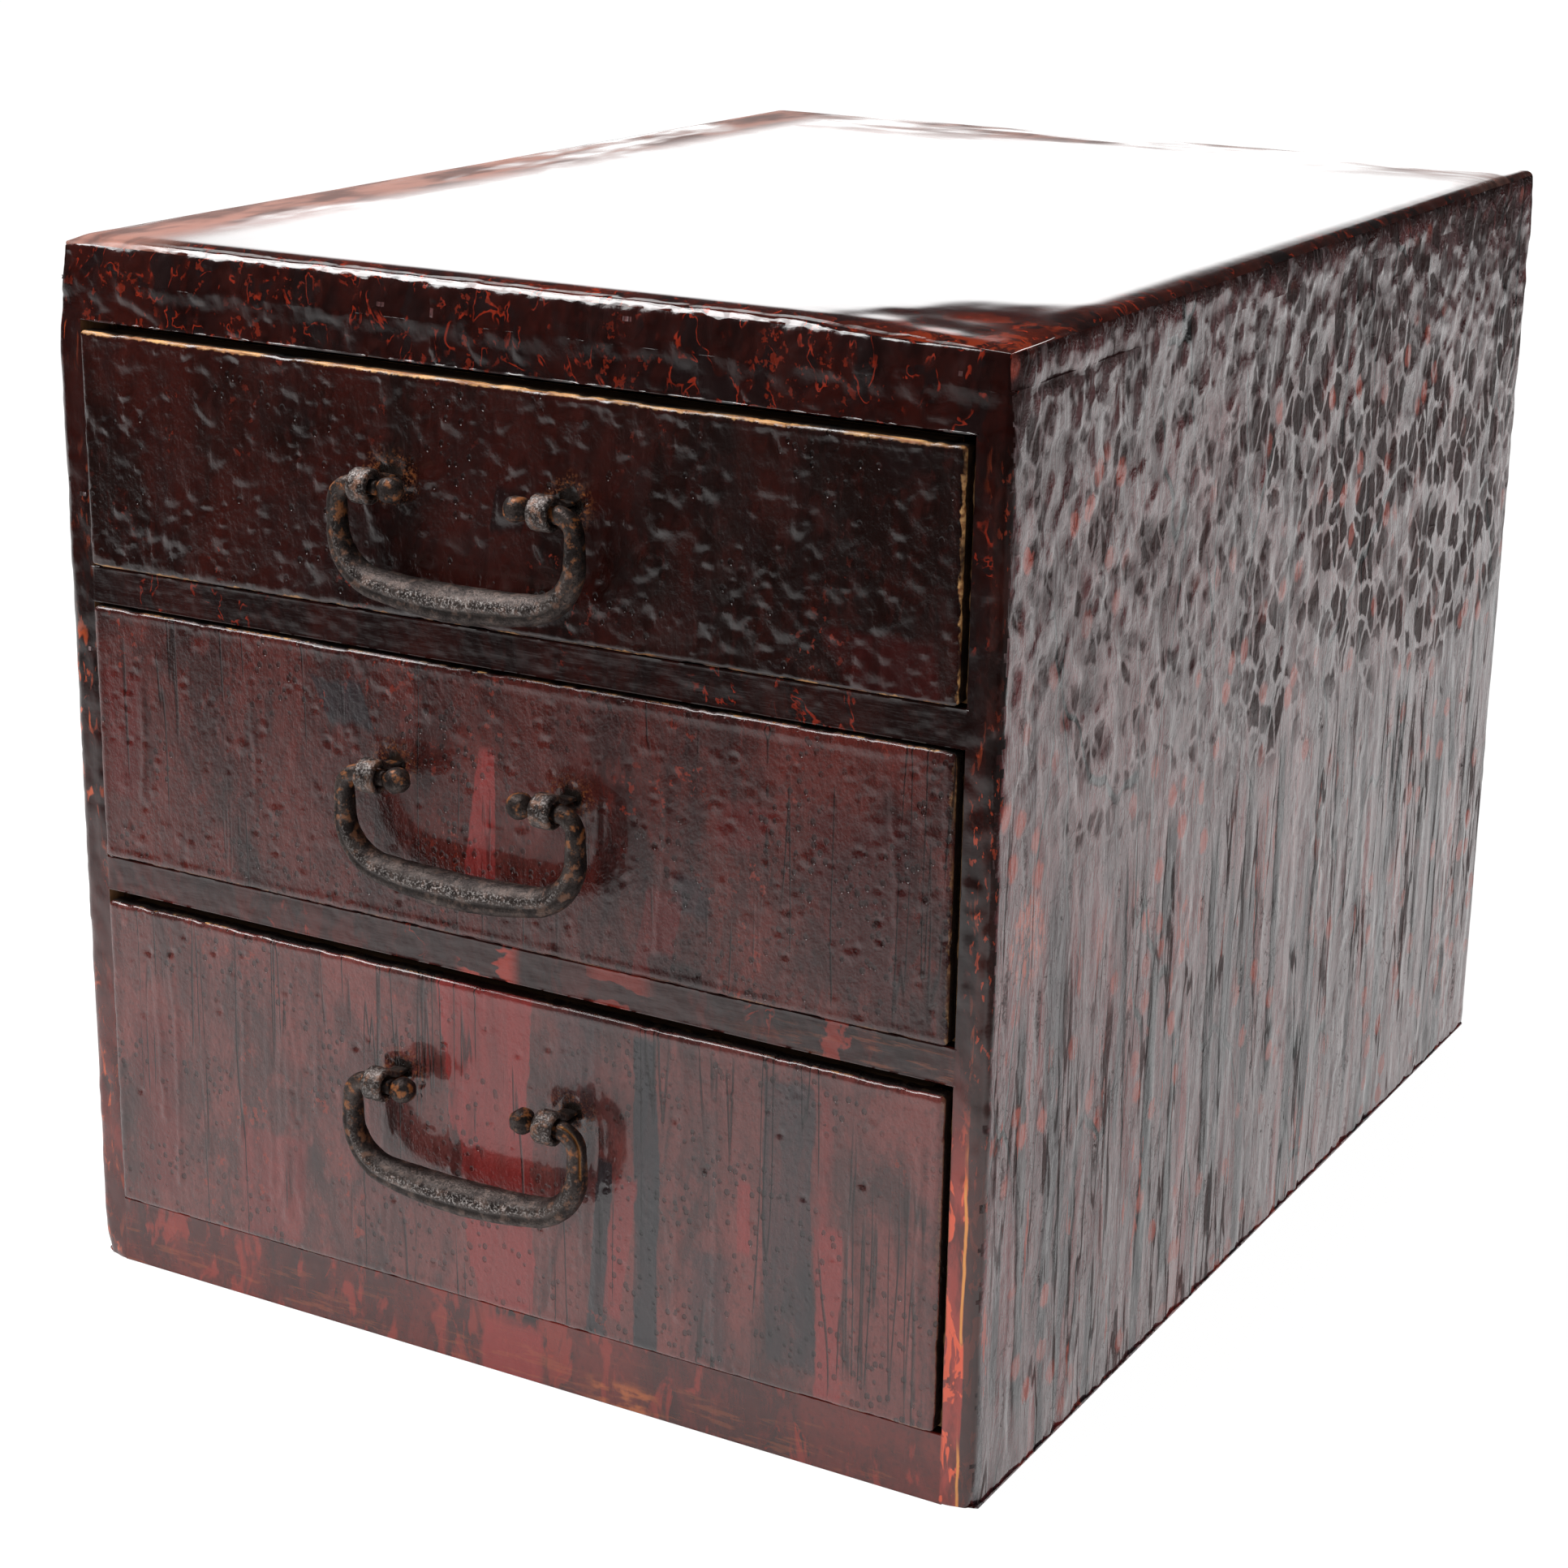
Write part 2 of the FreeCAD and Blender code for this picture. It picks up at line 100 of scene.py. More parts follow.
# Each point's distance from the nearest cell's middle, and a chance that is that cell's own.
def cells(u, v, seed):
    nearest, own = np.full(u.shape, 9.0), np.zeros(u.shape)
    cellU, cellV = np.floor(u), np.floor(v)
    for stepU in (-1, 0, 1):
        for stepV in (-1, 0, 1):
            atU, atV = cellU + stepU, cellV + stepV
            away = np.hypot(atU + scatter(atU, atV, seed) - u, atV + scatter(atU, atV, seed + 7) - v)
            closer = away < nearest
            own = np.where(closer, scatter(atU, atV, seed + 13), own)
            nearest = np.where(closer, away, nearest)
    return nearest, own


def ease(low, high, value):
    share = np.clip((value - low) / (high - low), 0, 1)
    return share * share * (3 - 2 * share)


# Runs of lacquer: each starts at the sheet, and ends in a fuller drop, or thins away where drop is 0.
# An item is where it starts and ends, as u and v, then its width and its rise.
def runs(u, v, items, seed, drop=1.0, wander=1.3):
    height = np.zeros(u.shape)
    for number, (startU, startV, endU, endV, width, rise) in enumerate(items):
        near = abs(u - (startU + endU) / 2) < abs(endU - startU) / 2 + width * 2 + 6
        near = near & (v < startV + 4) & (v > endV - width * 2)
        atU, atV = u[near], v[near]
        line = startU + (endU - startU) * (startV - atV) / (startV - endV)
        line = line + wander * wave(atV / 26, np.full(atV.shape, number * 3.7), seed)
        line = line + wander * 0.3 * wave(atV / 7, np.full(atV.shape, number * 2.9), seed + 2)
        fuller = 1 + 0.45 * drop * np.exp(-((atV - endV) / (width * 1.6)) ** 2)
        slim = 0.8 + 0.25 * wave(atV / 14, np.full(atV.shape, number * 5.1), seed + 1)
        half = width / 2 * np.maximum(fuller * slim, 0.25)
        across = np.clip(1 - ((atU - line) / half) ** 2, 0, 1)
        tip = np.clip((atV - endV) / (half * 1.6) + 0.6, 0, 1) if drop else ease(endV, endV + 30, atV) ** 2
        uneven = 0.75 + 0.35 * wave(atV / 9, atU / 5 + number * 1.7, seed + 4) * (1 - drop)
        body = np.sqrt(across) * np.sqrt(tip) * ease(startV, startV - 20, atV) * (uneven if drop < 1 else 1)
        height[near] = np.maximum(height[near], rise * body * fuller)
    return height


def dents(u, v, items):
    depth = np.zeros(u.shape)
    for atU, atV, radius, deep in items:
        near = (abs(u - atU) < radius * 3) & (abs(v - atV) < radius * 3)
        away = np.hypot(u[near] - atU, v[near] - atV) / radius
        away = away * (1 + 0.16 * np.sin(3 * np.arctan2(v[near] - atV, u[near] - atU) + atU))
        depth[near] += deep * (np.exp(-(away * 1.15) ** 4) - 0.22 * np.exp(-((away - 1.25) / 0.3) ** 2))
    return depth


def spread(seed, count, rangeU, rangeV, radius, deep):
    pick = np.random.default_rng(seed)
    size = pick.uniform(0, 1, count) ** 2
    return np.stack([pick.uniform(*rangeU, count), pick.uniform(*rangeV, count),
                     radius[0] + (radius[1] - radius[0]) * size, pick.uniform(*deep, count)], 1)


# A board's lacquered face. The grid rolls over the four edges and runs down them to the inner face.
# radii are those of the low and high edge across the grid, then along it; relief sinks the surface.
def coatedBoard(name, low, high, face, radii, steps, relief, down=None, lean=None, blocks=(), zones=None):
    low, high = np.array(low, float), np.array(high, float)
    sign = -1 if face[0] == "-" else 1
    deep = "xyz".index(face[1])
    across, along = {0: (1, 2), 1: (0, 2), 2: (0, 1)}[deep]
    flip = (sign > 0) == (deep == 1)
    thick = high[deep] - low[deep]
    fine = min(steps)

    def edgeRun(radius):
        turns = np.linspace(0, math.pi / 2, max(2, math.ceil(radius * 1.57 / fine)) + 1)[1:] if radius else []
        far = min(thick, max(down or thick, radius + fine))
        nearDrop = np.linspace(radius, far, max(1, math.ceil((far - radius) / fine)) + 1)[1:]
        farDrop = np.linspace(far, thick, max(2, math.ceil((thick - far) / 6)) + 1)[1:] if far < thick else []
        drop = np.concatenate([radius * (1 - np.cos(turns)), nearDrop, farDrop])
        run = np.concatenate([radius * np.sin(turns), np.full(len(drop) - len(turns), radius)])
        return run, drop

    edgeRuns = [edgeRun(radius) for radius in radii]
    count = max(len(run) for run, drop in edgeRuns)
    runTable, dropTable = np.zeros((4, count + 1)), np.zeros((4, count + 1))
    for side, (run, drop) in enumerate(edgeRuns):
        extra = count - len(run)
        tail = np.linspace(drop[-2] if len(drop) > 1 else 0, drop[-1], extra + 2)[1:]
        runTable[side, 1:] = np.concatenate([run[:-1], np.full(extra + 1, run[-1])])
        dropTable[side, 1:] = np.concatenate([drop[:-1], tail])

    def rows(axis, first, last, step):
        start, end = low[axis] + first, high[axis] - last
        values = np.linspace(start, end, max(2, round((end - start) / step)) + 1)
        rings = np.arange(1, count + 1)
        order = np.concatenate([-rings[::-1], np.zeros(len(values), int), rings])
        return order, np.concatenate([np.full(count, start), values, np.full(count, end)])

    ringA, valueA = rows(across, radii[0], radii[1], steps[0])
    ringB, valueB = rows(along, radii[2], radii[3], steps[1])
    ringA, ringB = np.meshgrid(ringA, ringB, indexing="ij")
    valueA, valueB = np.meshgrid(valueA, valueB, indexing="ij")
    ring = np.maximum(abs(ringA), abs(ringB))
    part = np.minimum(abs(ringA), abs(ringB)) / np.maximum(ring, 1) * math.pi / 4
    angle = np.where(abs(ringA) >= abs(ringB), part, math.pi / 2 - part)
    sideA, sideB = np.where(ringA < 0, 0, 1), np.where(ringB < 0, 2, 3)
    shareA, shareB = np.cos(angle) ** 2, np.sin(angle) ** 2
    drop = dropTable[sideA, ring] * shareA + dropTable[sideB, ring] * shareB
    radius = np.array(radii)[sideA] * shareA + np.array(radii)[sideB] * shareB
    turned = np.arccos(np.clip(1 - drop / np.maximum(radius, 1e-6), 0, 1)) * (ring > 0)
    place, out = np.zeros(ring.shape + (3,)), np.zeros(ring.shape + (3,))
    place[..., across] = valueA + runTable[sideA, ring] * np.cos(angle) * np.sign(ringA)
    place[..., along] = valueB + runTable[sideB, ring] * np.sin(angle) * np.sign(ringB)
    place[..., deep] = (high[deep] if sign > 0 else low[deep]) - sign * drop
    out[..., across] = np.sin(turned) * np.cos(angle) * np.sign(ringA)
    out[..., along] = np.sin(turned) * np.sin(angle) * np.sign(ringB)
    out[..., deep] = sign * np.cos(turned)
    if lean:
        share = (place[..., 2] - low[2]) / (high[2] - low[2])
        place[..., 2] += (lean[0] * (1 - share) + lean[1] * share) * place[..., 0] / halfOpening
    zoned = zones(place[:-1, :-1], out[:-1, :-1]).ravel() if zones else None
    place = place - out * relief(place, out)[..., None]
    number = np.arange(ring.size).reshape(ring.shape)
    quads = np.stack([number[:-1, :-1], number[1:, :-1], number[1:, 1:], number[:-1, 1:]], -1).reshape(-1, 4)
    border = np.concatenate([number[0, :-1], number[:-1, -1], number[-1, :0:-1], number[:0:-1, 0]])
    if flip:
        quads, border = quads[:, ::-1], border[::-1]
    points, faces = [place.reshape(-1, 3)], quads.tolist() + [border.tolist()]
    for blockLow, blockHigh in blocks:
        first = sum(len(part) for part in points)
        ends = np.array([blockLow, blockHigh])
        corners = [(ends[i, 0], ends[j, 1], ends[k, 2]) for i in (0, 1) for j in (0, 1) for k in (0, 1)]
        points.append(np.array(corners))
        order = ((0, 1, 3, 2), (4, 6, 7, 5), (0, 4, 5, 1), (2, 3, 7, 6), (0, 2, 6, 4), (1, 5, 7, 3))
        faces += [[first + spot for spot in quad] for quad in order]
    return makePiece(name, np.concatenate(points), faces, 1 + 6 * len(blocks), 60, zoned)


# A piece from points in mm. Its last faces, as many as inner says, are the hidden bare ones.
def makePiece(name, points, faces, inner=0, sharp=60, zoned=None):
    mesh = bpy.data.meshes.new(name)
    mesh.from_pydata(np.asarray(points) * mm, [], faces)
    mesh.polygons.foreach_set("use_smooth", np.ones(len(faces), bool))
    slots = np.zeros(len(faces), np.int32)
    if zoned is not None:
        slots[:len(zoned)] = zoned
    if inner:
        slots[-inner:] = 1
    mesh.polygons.foreach_set("material_index", slots)
    mesh.set_sharp_from_angle(angle=math.radians(sharp))
    mesh.update()
    piece = bpy.data.objects.new(name, mesh)
    bpy.context.scene.collection.objects.link(piece)
    return piece


def span(node):
    low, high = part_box(node)
    return np.array(low) / mm, np.array(high) / mm


def fit(piece, body, nodes, slot, *materials):
    for material in materials:
        piece.data.materials.append(material)
    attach(piece, body)
    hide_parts(*nodes)


# Shader sums in plain Python: a Wire holds one output socket and joins in them.
class Wire:
    def __init__(self, socket):
        self.socket = socket

    def node(self, kind, settings=None, inputs=None, output=0):
        tree = self.socket.id_data
        made = tree.nodes.new(kind)
        for name, value in (settings or {}).items():
            setattr(made, name, value)
        for name, value in (inputs or {}).items():
            if isinstance(value, Wire):
                tree.links.new(value.socket, made.inputs[name])
            else:
                made.inputs[name].default_value = value
        return Wire(made.outputs[output]) if made.outputs else made

    def sum(self, operation, *values):
        if any(isinstance(value, Wire) and value.socket.type in ("VECTOR", "RGBA") for value in values):
            values = [value if isinstance(value, (Wire, tuple)) else (value,) * 3 for value in values]
            return self.node("ShaderNodeVectorMath", {"operation": operation}, dict(enumerate(values)))
        return self.node("ShaderNodeMath", {"operation": operation}, dict(enumerate(values)))

    def __add__(self, other):
        return self.sum("ADD", self, other)

    def __radd__(self, other):
        return self.sum("ADD", other, self)

    def __sub__(self, other):
        return self.sum("SUBTRACT", self, other)

    def __rsub__(self, other):
        return self.sum("SUBTRACT", other, self)

    def __mul__(self, other):
        return self.sum("MULTIPLY", self, other)

    def __rmul__(self, other):
        return self.sum("MULTIPLY", other, self)

    def __pow__(self, other):
        return self.sum("POWER", self, other)

    def __abs__(self):
        return self.sum("ABSOLUTE", self)

    def most(self, other):
        return self.sum("MAXIMUM", self, other)

    def least(self, other):
        return self.sum("MINIMUM", self, other)

    def rise(self, low, high):
        return self.node("ShaderNodeMapRange", {"interpolation_type": "SMOOTHSTEP"},
                         {"Value": self, "From Min": low, "From Max": high})

    def within(self, low, high, soft):
        return self.rise(low - soft, low + soft) * (1 - self.rise(high - soft, high + soft))

    def parts(self):
        return [self.node("ShaderNodeSeparateXYZ", None, {0: self}, k) for k in range(3)]

    def blend(self, under, over):
        under, over = (value if isinstance(value, Wire) else (*value, 1) for value in (under, over))
        return self.node("ShaderNodeMix", {"data_type": "RGBA"}, {0: self, 6: under, 7: over}, 2)

    # Layers over this colour, each a mask and what shows where the mask is 1.
    def painted(self, *layers):
        colour = self
        for mask, shade in layers:
            colour = mask.blend(colour, shade)
        return colour

    # The place in pattern cells of one size. stretch is for z alone, or a share for each axis.
    def scaled(self, size, stretch, shift):
        stretch = stretch if isinstance(stretch, tuple) else (1, 1, stretch)
        return self * tuple(share / size for share in stretch) + (shift, shift * 0.6, shift * 1.7)

    def noise(self, size, stretch=1, detail=3.0, rough=0.5, shift=0.0, warp=0.0):
        inputs = {"Vector": self.scaled(size, stretch, shift), "Scale": 1.0, "Detail": detail,
                  "Roughness": rough, "Distortion": warp}
        return self.node("ShaderNodeTexNoise", None, inputs)

    # Soft patches of the noise, from none at low to full at high.
    def patches(self, size, stretch, shift, low, high):
        return self.noise(size, stretch, 2, 0.5, shift).rise(low, high)

    def other(self, name):
        return Wire(self.socket.node.outputs[name])

    # Rounded spots in a share of the cells, 1 in the middle and 0 from the radius on.
    def spots(self, size, stretch=1, share=0.3, radius=0.3, shift=0.0):
        inputs = {"Vector": self.scaled(size, stretch, shift), "Scale": 1.0}
        away = self.node("ShaderNodeTexVoronoi", {"feature": "F1"}, inputs)
        chance = self.node("ShaderNodeSeparateColor", None, {0: away.other("Color")})
        return (1 - away.rise(radius * 0.6, radius)) * (1 - chance.rise(share, share + 0.02))

    # A net of bent lines round cells: the distance from the lines, and a chance that is each cell's own.
    def net(self, size, stretch=1, shift=0.0, warp=0.8):
        bent = (self.noise(size * 1.5, stretch, 3, 0.55, shift + 3).other("Color") - 0.5) * warp
        inputs = {"Vector": self.scaled(size, stretch, shift) + bent, "Scale": 1.0}
        away = self.node("ShaderNodeTexVoronoi", {"feature": "DISTANCE_TO_EDGE"}, inputs)
        cell = self.node("ShaderNodeTexVoronoi", {"feature": "F1"}, inputs, 1)
        return away, self.node("ShaderNodeSeparateColor", None, {0: cell})


# A colour from levels of 0 to 255.
def tone(*levels):
    return tuple((level / 255 / 1.055 + 0.0521) ** 2.4 if level > 10 else level / 3294 for level in levels)


def newMaterial(name):
    material = bpy.data.materials.new(name)
    material.use_nodes = True
    material.node_tree.nodes.clear()
    start = Wire(material.node_tree.nodes.new("ShaderNodeTexCoord").outputs["Object"])
    return material, start * 1000


def finish(colour, roughness, height=None, metallic=0.0, coat=0.0, blur=0.07, shine=0.5):
    inputs = {"Base Color": colour, "Roughness": roughness, "Metallic": metallic, "Coat Weight": coat,
              "Coat Roughness": blur, "Coat IOR": 1.5, "IOR": 1.5, "Specular IOR Level": shine}
    if height is not None:
        bump = {"Strength": 1.0, "Distance": mm, "Height": height}
        inputs["Normal"] = height.node("ShaderNodeBump", None, bump)
    shader = colour.node("ShaderNodeBsdfPrincipled", None, inputs)
    colour.node("ShaderNodeOutputMaterial", None, {"Surface": shader})


# The colours of the lacquer, and of what shows where it is worn.
black, maroon, oxblood = tone(24, 13, 13), tone(58, 15, 14), tone(82, 18, 16)
brick, blueBlack, orange = tone(124, 42, 40), tone(32, 34, 38), tone(168, 50, 22)


# Ground colour of every lacquered face: a dark red, clouded, pulled downwards and blackened in places.
def ground(place, deep, bright, blackened=0.5, shift=0.0):
    cloud = place.noise(30, 0.4, 4, 0.6, shift, 0.6)
    mottle = place.noise(5, 0.5, 4, 0.65, shift + 9, 0.5)
    dark = place.noise(15, 0.3, 5, 0.66, shift + 17, 0.8)
    grime = place.noise(1.6, 0.7, 2, 0.6, shift + 19)
    return cloud.rise(0.38, 0.66).blend(deep, bright).painted(
        (mottle.rise(0.48, 0.66) * 0.6, bright),
        (dark.rise(0.50, 0.64) * blackened, black),
        (grime.rise(0.5, 0.72) * 0.35, black))


# Orange-red rings round black drops, where thick lacquer was rubbed through.
def ringed(place, colour, amount, shift=0.0, size=9, shade=orange):
    drops = place.noise(size, 0.75, 3, 0.5, shift + 31, 0.8)
    patch = place.patches(30, 0.7, shift + 47, 0.66 - amount * 0.3, 0.74 - amount * 0.3)
    ring = drops.rise(0.538, 0.552) * (1 - drops.rise(0.568, 0.580)) * patch
    worn = place.patches(3.4, 0.6, shift + 53, 0.44, 0.60)
    return colour.painted((drops.rise(0.565, 0.60) * patch * 0.85, black), (ring * worn * 0.85, shade))


def flecks(place, amount, shift=0.0):
    fleck = place.noise(2.6, 0.8, 3, 0.6, shift + 61).rise(0.60, 0.64)
    return fleck * place.patches(26, 0.5, shift + 71, 0.62 - amount * 0.3, 0.72 - amount * 0.3)


def wrinkles(place, shift=0.0, fine=0.1, broad=0.4):
    small = place.noise(1.3, 0.7, 3, 0.6, shift + 81)
    return small * fine + place.noise(5, 0.7, 2, 0.5, shift + 83) * broad


def gloss(place, low=0.16, high=0.30, shift=0.0):
    return low + place.noise(14, 0.4, 3, 0.6, shift + 91).rise(0.35, 0.7) * (high - low)


# Runs of the right side: depth and height where each starts and ends, width, rise, and its colour.
sideRuns = [
    (21.5, 142, 28, 20, 5.6, 0.42, blueBlack), (52, 96, 51, 50, 4.0, 0.30, blueBlack),
    (65, 86, 61, 28, 4.6, 0.34, brick), (90, 168, 98, 62, 5.4, 0.34, brick),
    (113, 130, 112, 22, 6.4, 0.55, blueBlack), (121, 172, 120, 136, 7.0, 0.34, blueBlack),
    (133, 104, 131, 18, 6.0, 0.50, blueBlack), (156, 152, 162, 26, 6.4, 0.42, blueBlack),
    (184, 170, 182, 92, 4.4, 0.40, maroon), (193, 154, 200, 60, 4.6, 0.40, brick),
    (209, 172, 213, 54, 5.0, 0.40, blueBlack), (246, 164, 247, 78, 5.0, 0.36, maroon),
    (262, 168, 264, 118, 3.6, 0.36, maroon), (326, 158, 326, 102, 4.6, 0.45, blueBlack),
    (351, 152, 358, 40, 5.0, 0.45, maroon), (380, 150, 388, 110, 6.0, 0.36, blueBlack),
    (404, 190, 406, 40, 7.0, 0.40, maroon), (308, 70, 312, 16, 5.0, 0.30, brick),
]


# The front corners are worn round at the lid and at the foot.
def blunt(inset, height):
    atLid = 2.4 * ease(13, 0, inset) ** 1.3 * ease(296, 324, height)
    return atLid + 1.6 * ease(10, 0, inset) * ease(9, 0, height)


# Each relief says how far a face's points sink into the board, in mm.
def sideRelief(depth, height, seed):
    rightSide = seed == 101

    def swells(wide, tall, shift, layers=2, u=depth, v=height):
        return waves(u / wide, v / tall, seed + shift, layers)

    upper = ease(160, 205, height + 26 * swells(50, 45, 5))
    bentU, bentV = depth + 2.2 * swells(13, 13, 1), height + 2.2 * swells(13, 13, 3)
    lumps = (0.58 * swells(6.6, 8, 7, 2, bentU, bentV) - 0.1) * (0.06 + 0.94 * upper)
    lumps = lumps + 0.10 * swells(9, 60, 8) * (1 - upper)
    combed = 0.18 * swells(3.8, 24, 9, 2, bentU, bentV) + 0.24 * swells(8, 70, 16, 2, bentU, bentV)
    crumbly = 0.30 * swells(4.4, 6, 10, 2, bentU, bentV) * ease(0.0, 0.5, swells(26, 34, 15))
    pick = np.random.default_rng(seed)
    items = [run[:5] + (run[5] * 0.55,) for run in sideRuns] if rightSide else []
    for at in np.arange(12, 428, 24 if rightSide else 15):
        start = at + pick.uniform(-6, 6)
        items.append((start, pick.uniform(110, 220), start + pick.uniform(-5, 5), pick.uniform(-40, 30),
                      pick.uniform(2.2, 5.4), pick.uniform(0.08, 0.2)))
    for number in range(46):
        start, top = pick.uniform(4, 426), pick.uniform(190, 318)
        items.append((start, top, start + pick.uniform(-3, 3), top - pick.uniform(14, 50),
                      pick.uniform(2.6, 4.6), pick.uniform(0.25, 0.5)))
    ran = runs(depth, height, items, seed + 2, 0.0, 2.2)
    fringe = []
    for at in np.arange(5, 428, 5.2):
        start, top = at + pick.uniform(-3, 3), 327 + pick.uniform(-3, 2)
        fringe.append((start, top, start + pick.uniform(-2, 2), 314 - pick.uniform(0, 4.2) ** 2,
                       pick.uniform(1.8, 3.2), pick.uniform(0.3, 0.7)))
    ran = np.maximum(ran, runs(depth, height, fringe, seed + 6))
    ragged = 0.4 * ease(2.4, 0.4, height) * ease(-0.2, 0.4, swells(3.6, 6, 12))
    torn = ease(0.1, 0.4, swells(30, 1, 13, 2, depth, height * 0)) * ease(200, 120, depth)
    torn = np.maximum(torn, 0.8 * ease(2, 12, depth) * ease(92, 50, depth) * rightSide)
    wavy = 1.4 * swells(14, 1, 14, 2, depth, height * 0)
    crease = 0.8 * np.exp(-((height - 316.5 + wavy) / 1.5) ** 2) * torn
    deep = 0.95 - lumps - (combed + crumbly) * (1 - upper) - ran * (1 - 0.4 * upper)
    deep = deep + 0.22 * swells(40, 50, 11, 3) + crease
    return np.clip(deep, 0.02, 2.4) + ragged + ease(320, 330, height) ** 2 + blunt(depth, height)


def topRelief(x, depth):
    inset = np.minimum(np.minimum(halfCase - abs(x), depth), caseDepth - depth)
    leftOrBack = np.minimum(halfCase + x, caseDepth - depth)
    away = np.hypot(halfCase - x, depth * 1.25) + 9 * waves(x / 22, depth / 22, 405, 2)
    slump = 3.3 * ease(80, 0, away) ** 1.2 + 0.5 * ease(40, 0, leftOrBack)
    low = 0.22 + 0.07 * waves(x / 70, depth / 90, 401, 3) + 1.8 * ease(14, -2, inset) ** 1.6 + slump
    leftCorner = 1.5 * ease(16, 0, np.hypot(halfCase + x, depth))
    low = low + leftCorner + 0.30 * ease(8, 1, depth) * waves(x / 5, depth / 5, 404, 2)
    near = 0.10 * ease(30, 6, leftOrBack) * waves(x / 20, depth / 30, 402, 2)
    return low + near + 0.006 * waves(x / 6, depth / 10, 403, 2)


def backRelief(x, height):
    items = [(at, 300 - 7 * (at % 11), at + at % 5 - 2, 20 + 5 * (at % 13), 3.4, 0.3)
             for at in range(-140, 150, 17)]
    swell = 0.2 * waves(x / 9, height / 34, 502, 3) + 0.15 * waves(x / 50, height / 60, 503, 2)
    return 0.75 + swell - runs(x, height, items, 501)


def frontRelief(x, height):
    def swells(wide, tall, seed, layers=2):
        return waves(x / wide, height / tall, seed, layers)

    fascia = ease(302, 306, height)
    bentX, bentHeight = x + 2.6 * swells(9, 9, 601), height + 2.6 * swells(9, 9, 611)
    near, own = cells(bentX / 7.4, bentHeight / 8.2, 602)
    drops = ease(0.75, 0.10, near) * ease(0.15, 0.5, own)
    lumpy = 0.85 - 0.60 * drops + 0.12 * swells(2.6, 2.8, 603) + 0.34 * swells(10, 9, 604)
    rail = 0.36 + 0.09 * swells(9, 3.0, 605, 3) + 0.07 * swells(2.4, 2.2, 606)
    edge = ease(142, 150, abs(x))
    upright = 0.42 + 0.22 * swells(4, 9, 607, 3) - 0.24 * drops
    joint = ease(-0.1, 0.4, waves(x * 0, height / 14, 608, 2)) * np.exp(-((abs(x) - halfOpening) / 0.7) ** 2)
    low = rail * (1 - edge) + upright * edge + 0.25 * joint
    brow = ease(313, 321, height)
    beads = 0.45 * swells(4.6, 7, 609) + 0.35 * swells(15, 30, 612)
    rolled = 1.4 * ease(311, 329, height) ** 2 + brow * beads
    sunk = np.clip(lumpy * (1 - 0.4 * brow), 0.05, 1.9) * fascia + low * (1 - fascia)
    return sunk + np.maximum(rolled, -0.3) + blunt(halfCase - abs(x), height)


def caseRelief(place, out):
    x, y, height = place[..., 0], place[..., 1], place[..., 2]
    depth = y + toDepth
    share = np.clip(out, -1, 1) ** 2
    total = np.where(out[..., 1] < 0, frontRelief(x, height), backRelief(x, height)) * share[..., 1]
    if share[..., 0].max() > 0:
        sides = np.where(x > 0, sideRelief(depth, height, 101), sideRelief(depth, height, 201))
        total = total + sides * share[..., 0]
    level = np.where(out[..., 2] > 0, topRelief(x, depth), 0.3) * (height > 318)
    return np.maximum(total + level * share[..., 2], 0.03)


# Which finish each face of a case board gets: 0 side, 2 front, 3 lid. Slot 1 is its bare wood.
def caseZones(place, out):
    x, y, height = place[..., 0], place[..., 1], place[..., 2]
    jitter = 0.55 * waves(height / 4, x / 5 + y / 5, 651, 2)
    front = -out[..., 1] > 0.55 + jitter
    lid = (out[..., 2] > 0.5 + 0.15 * jitter) & (height > 318)
    return np.where(lid, 3, np.where(front, 2, 0)).astype(np.int32)


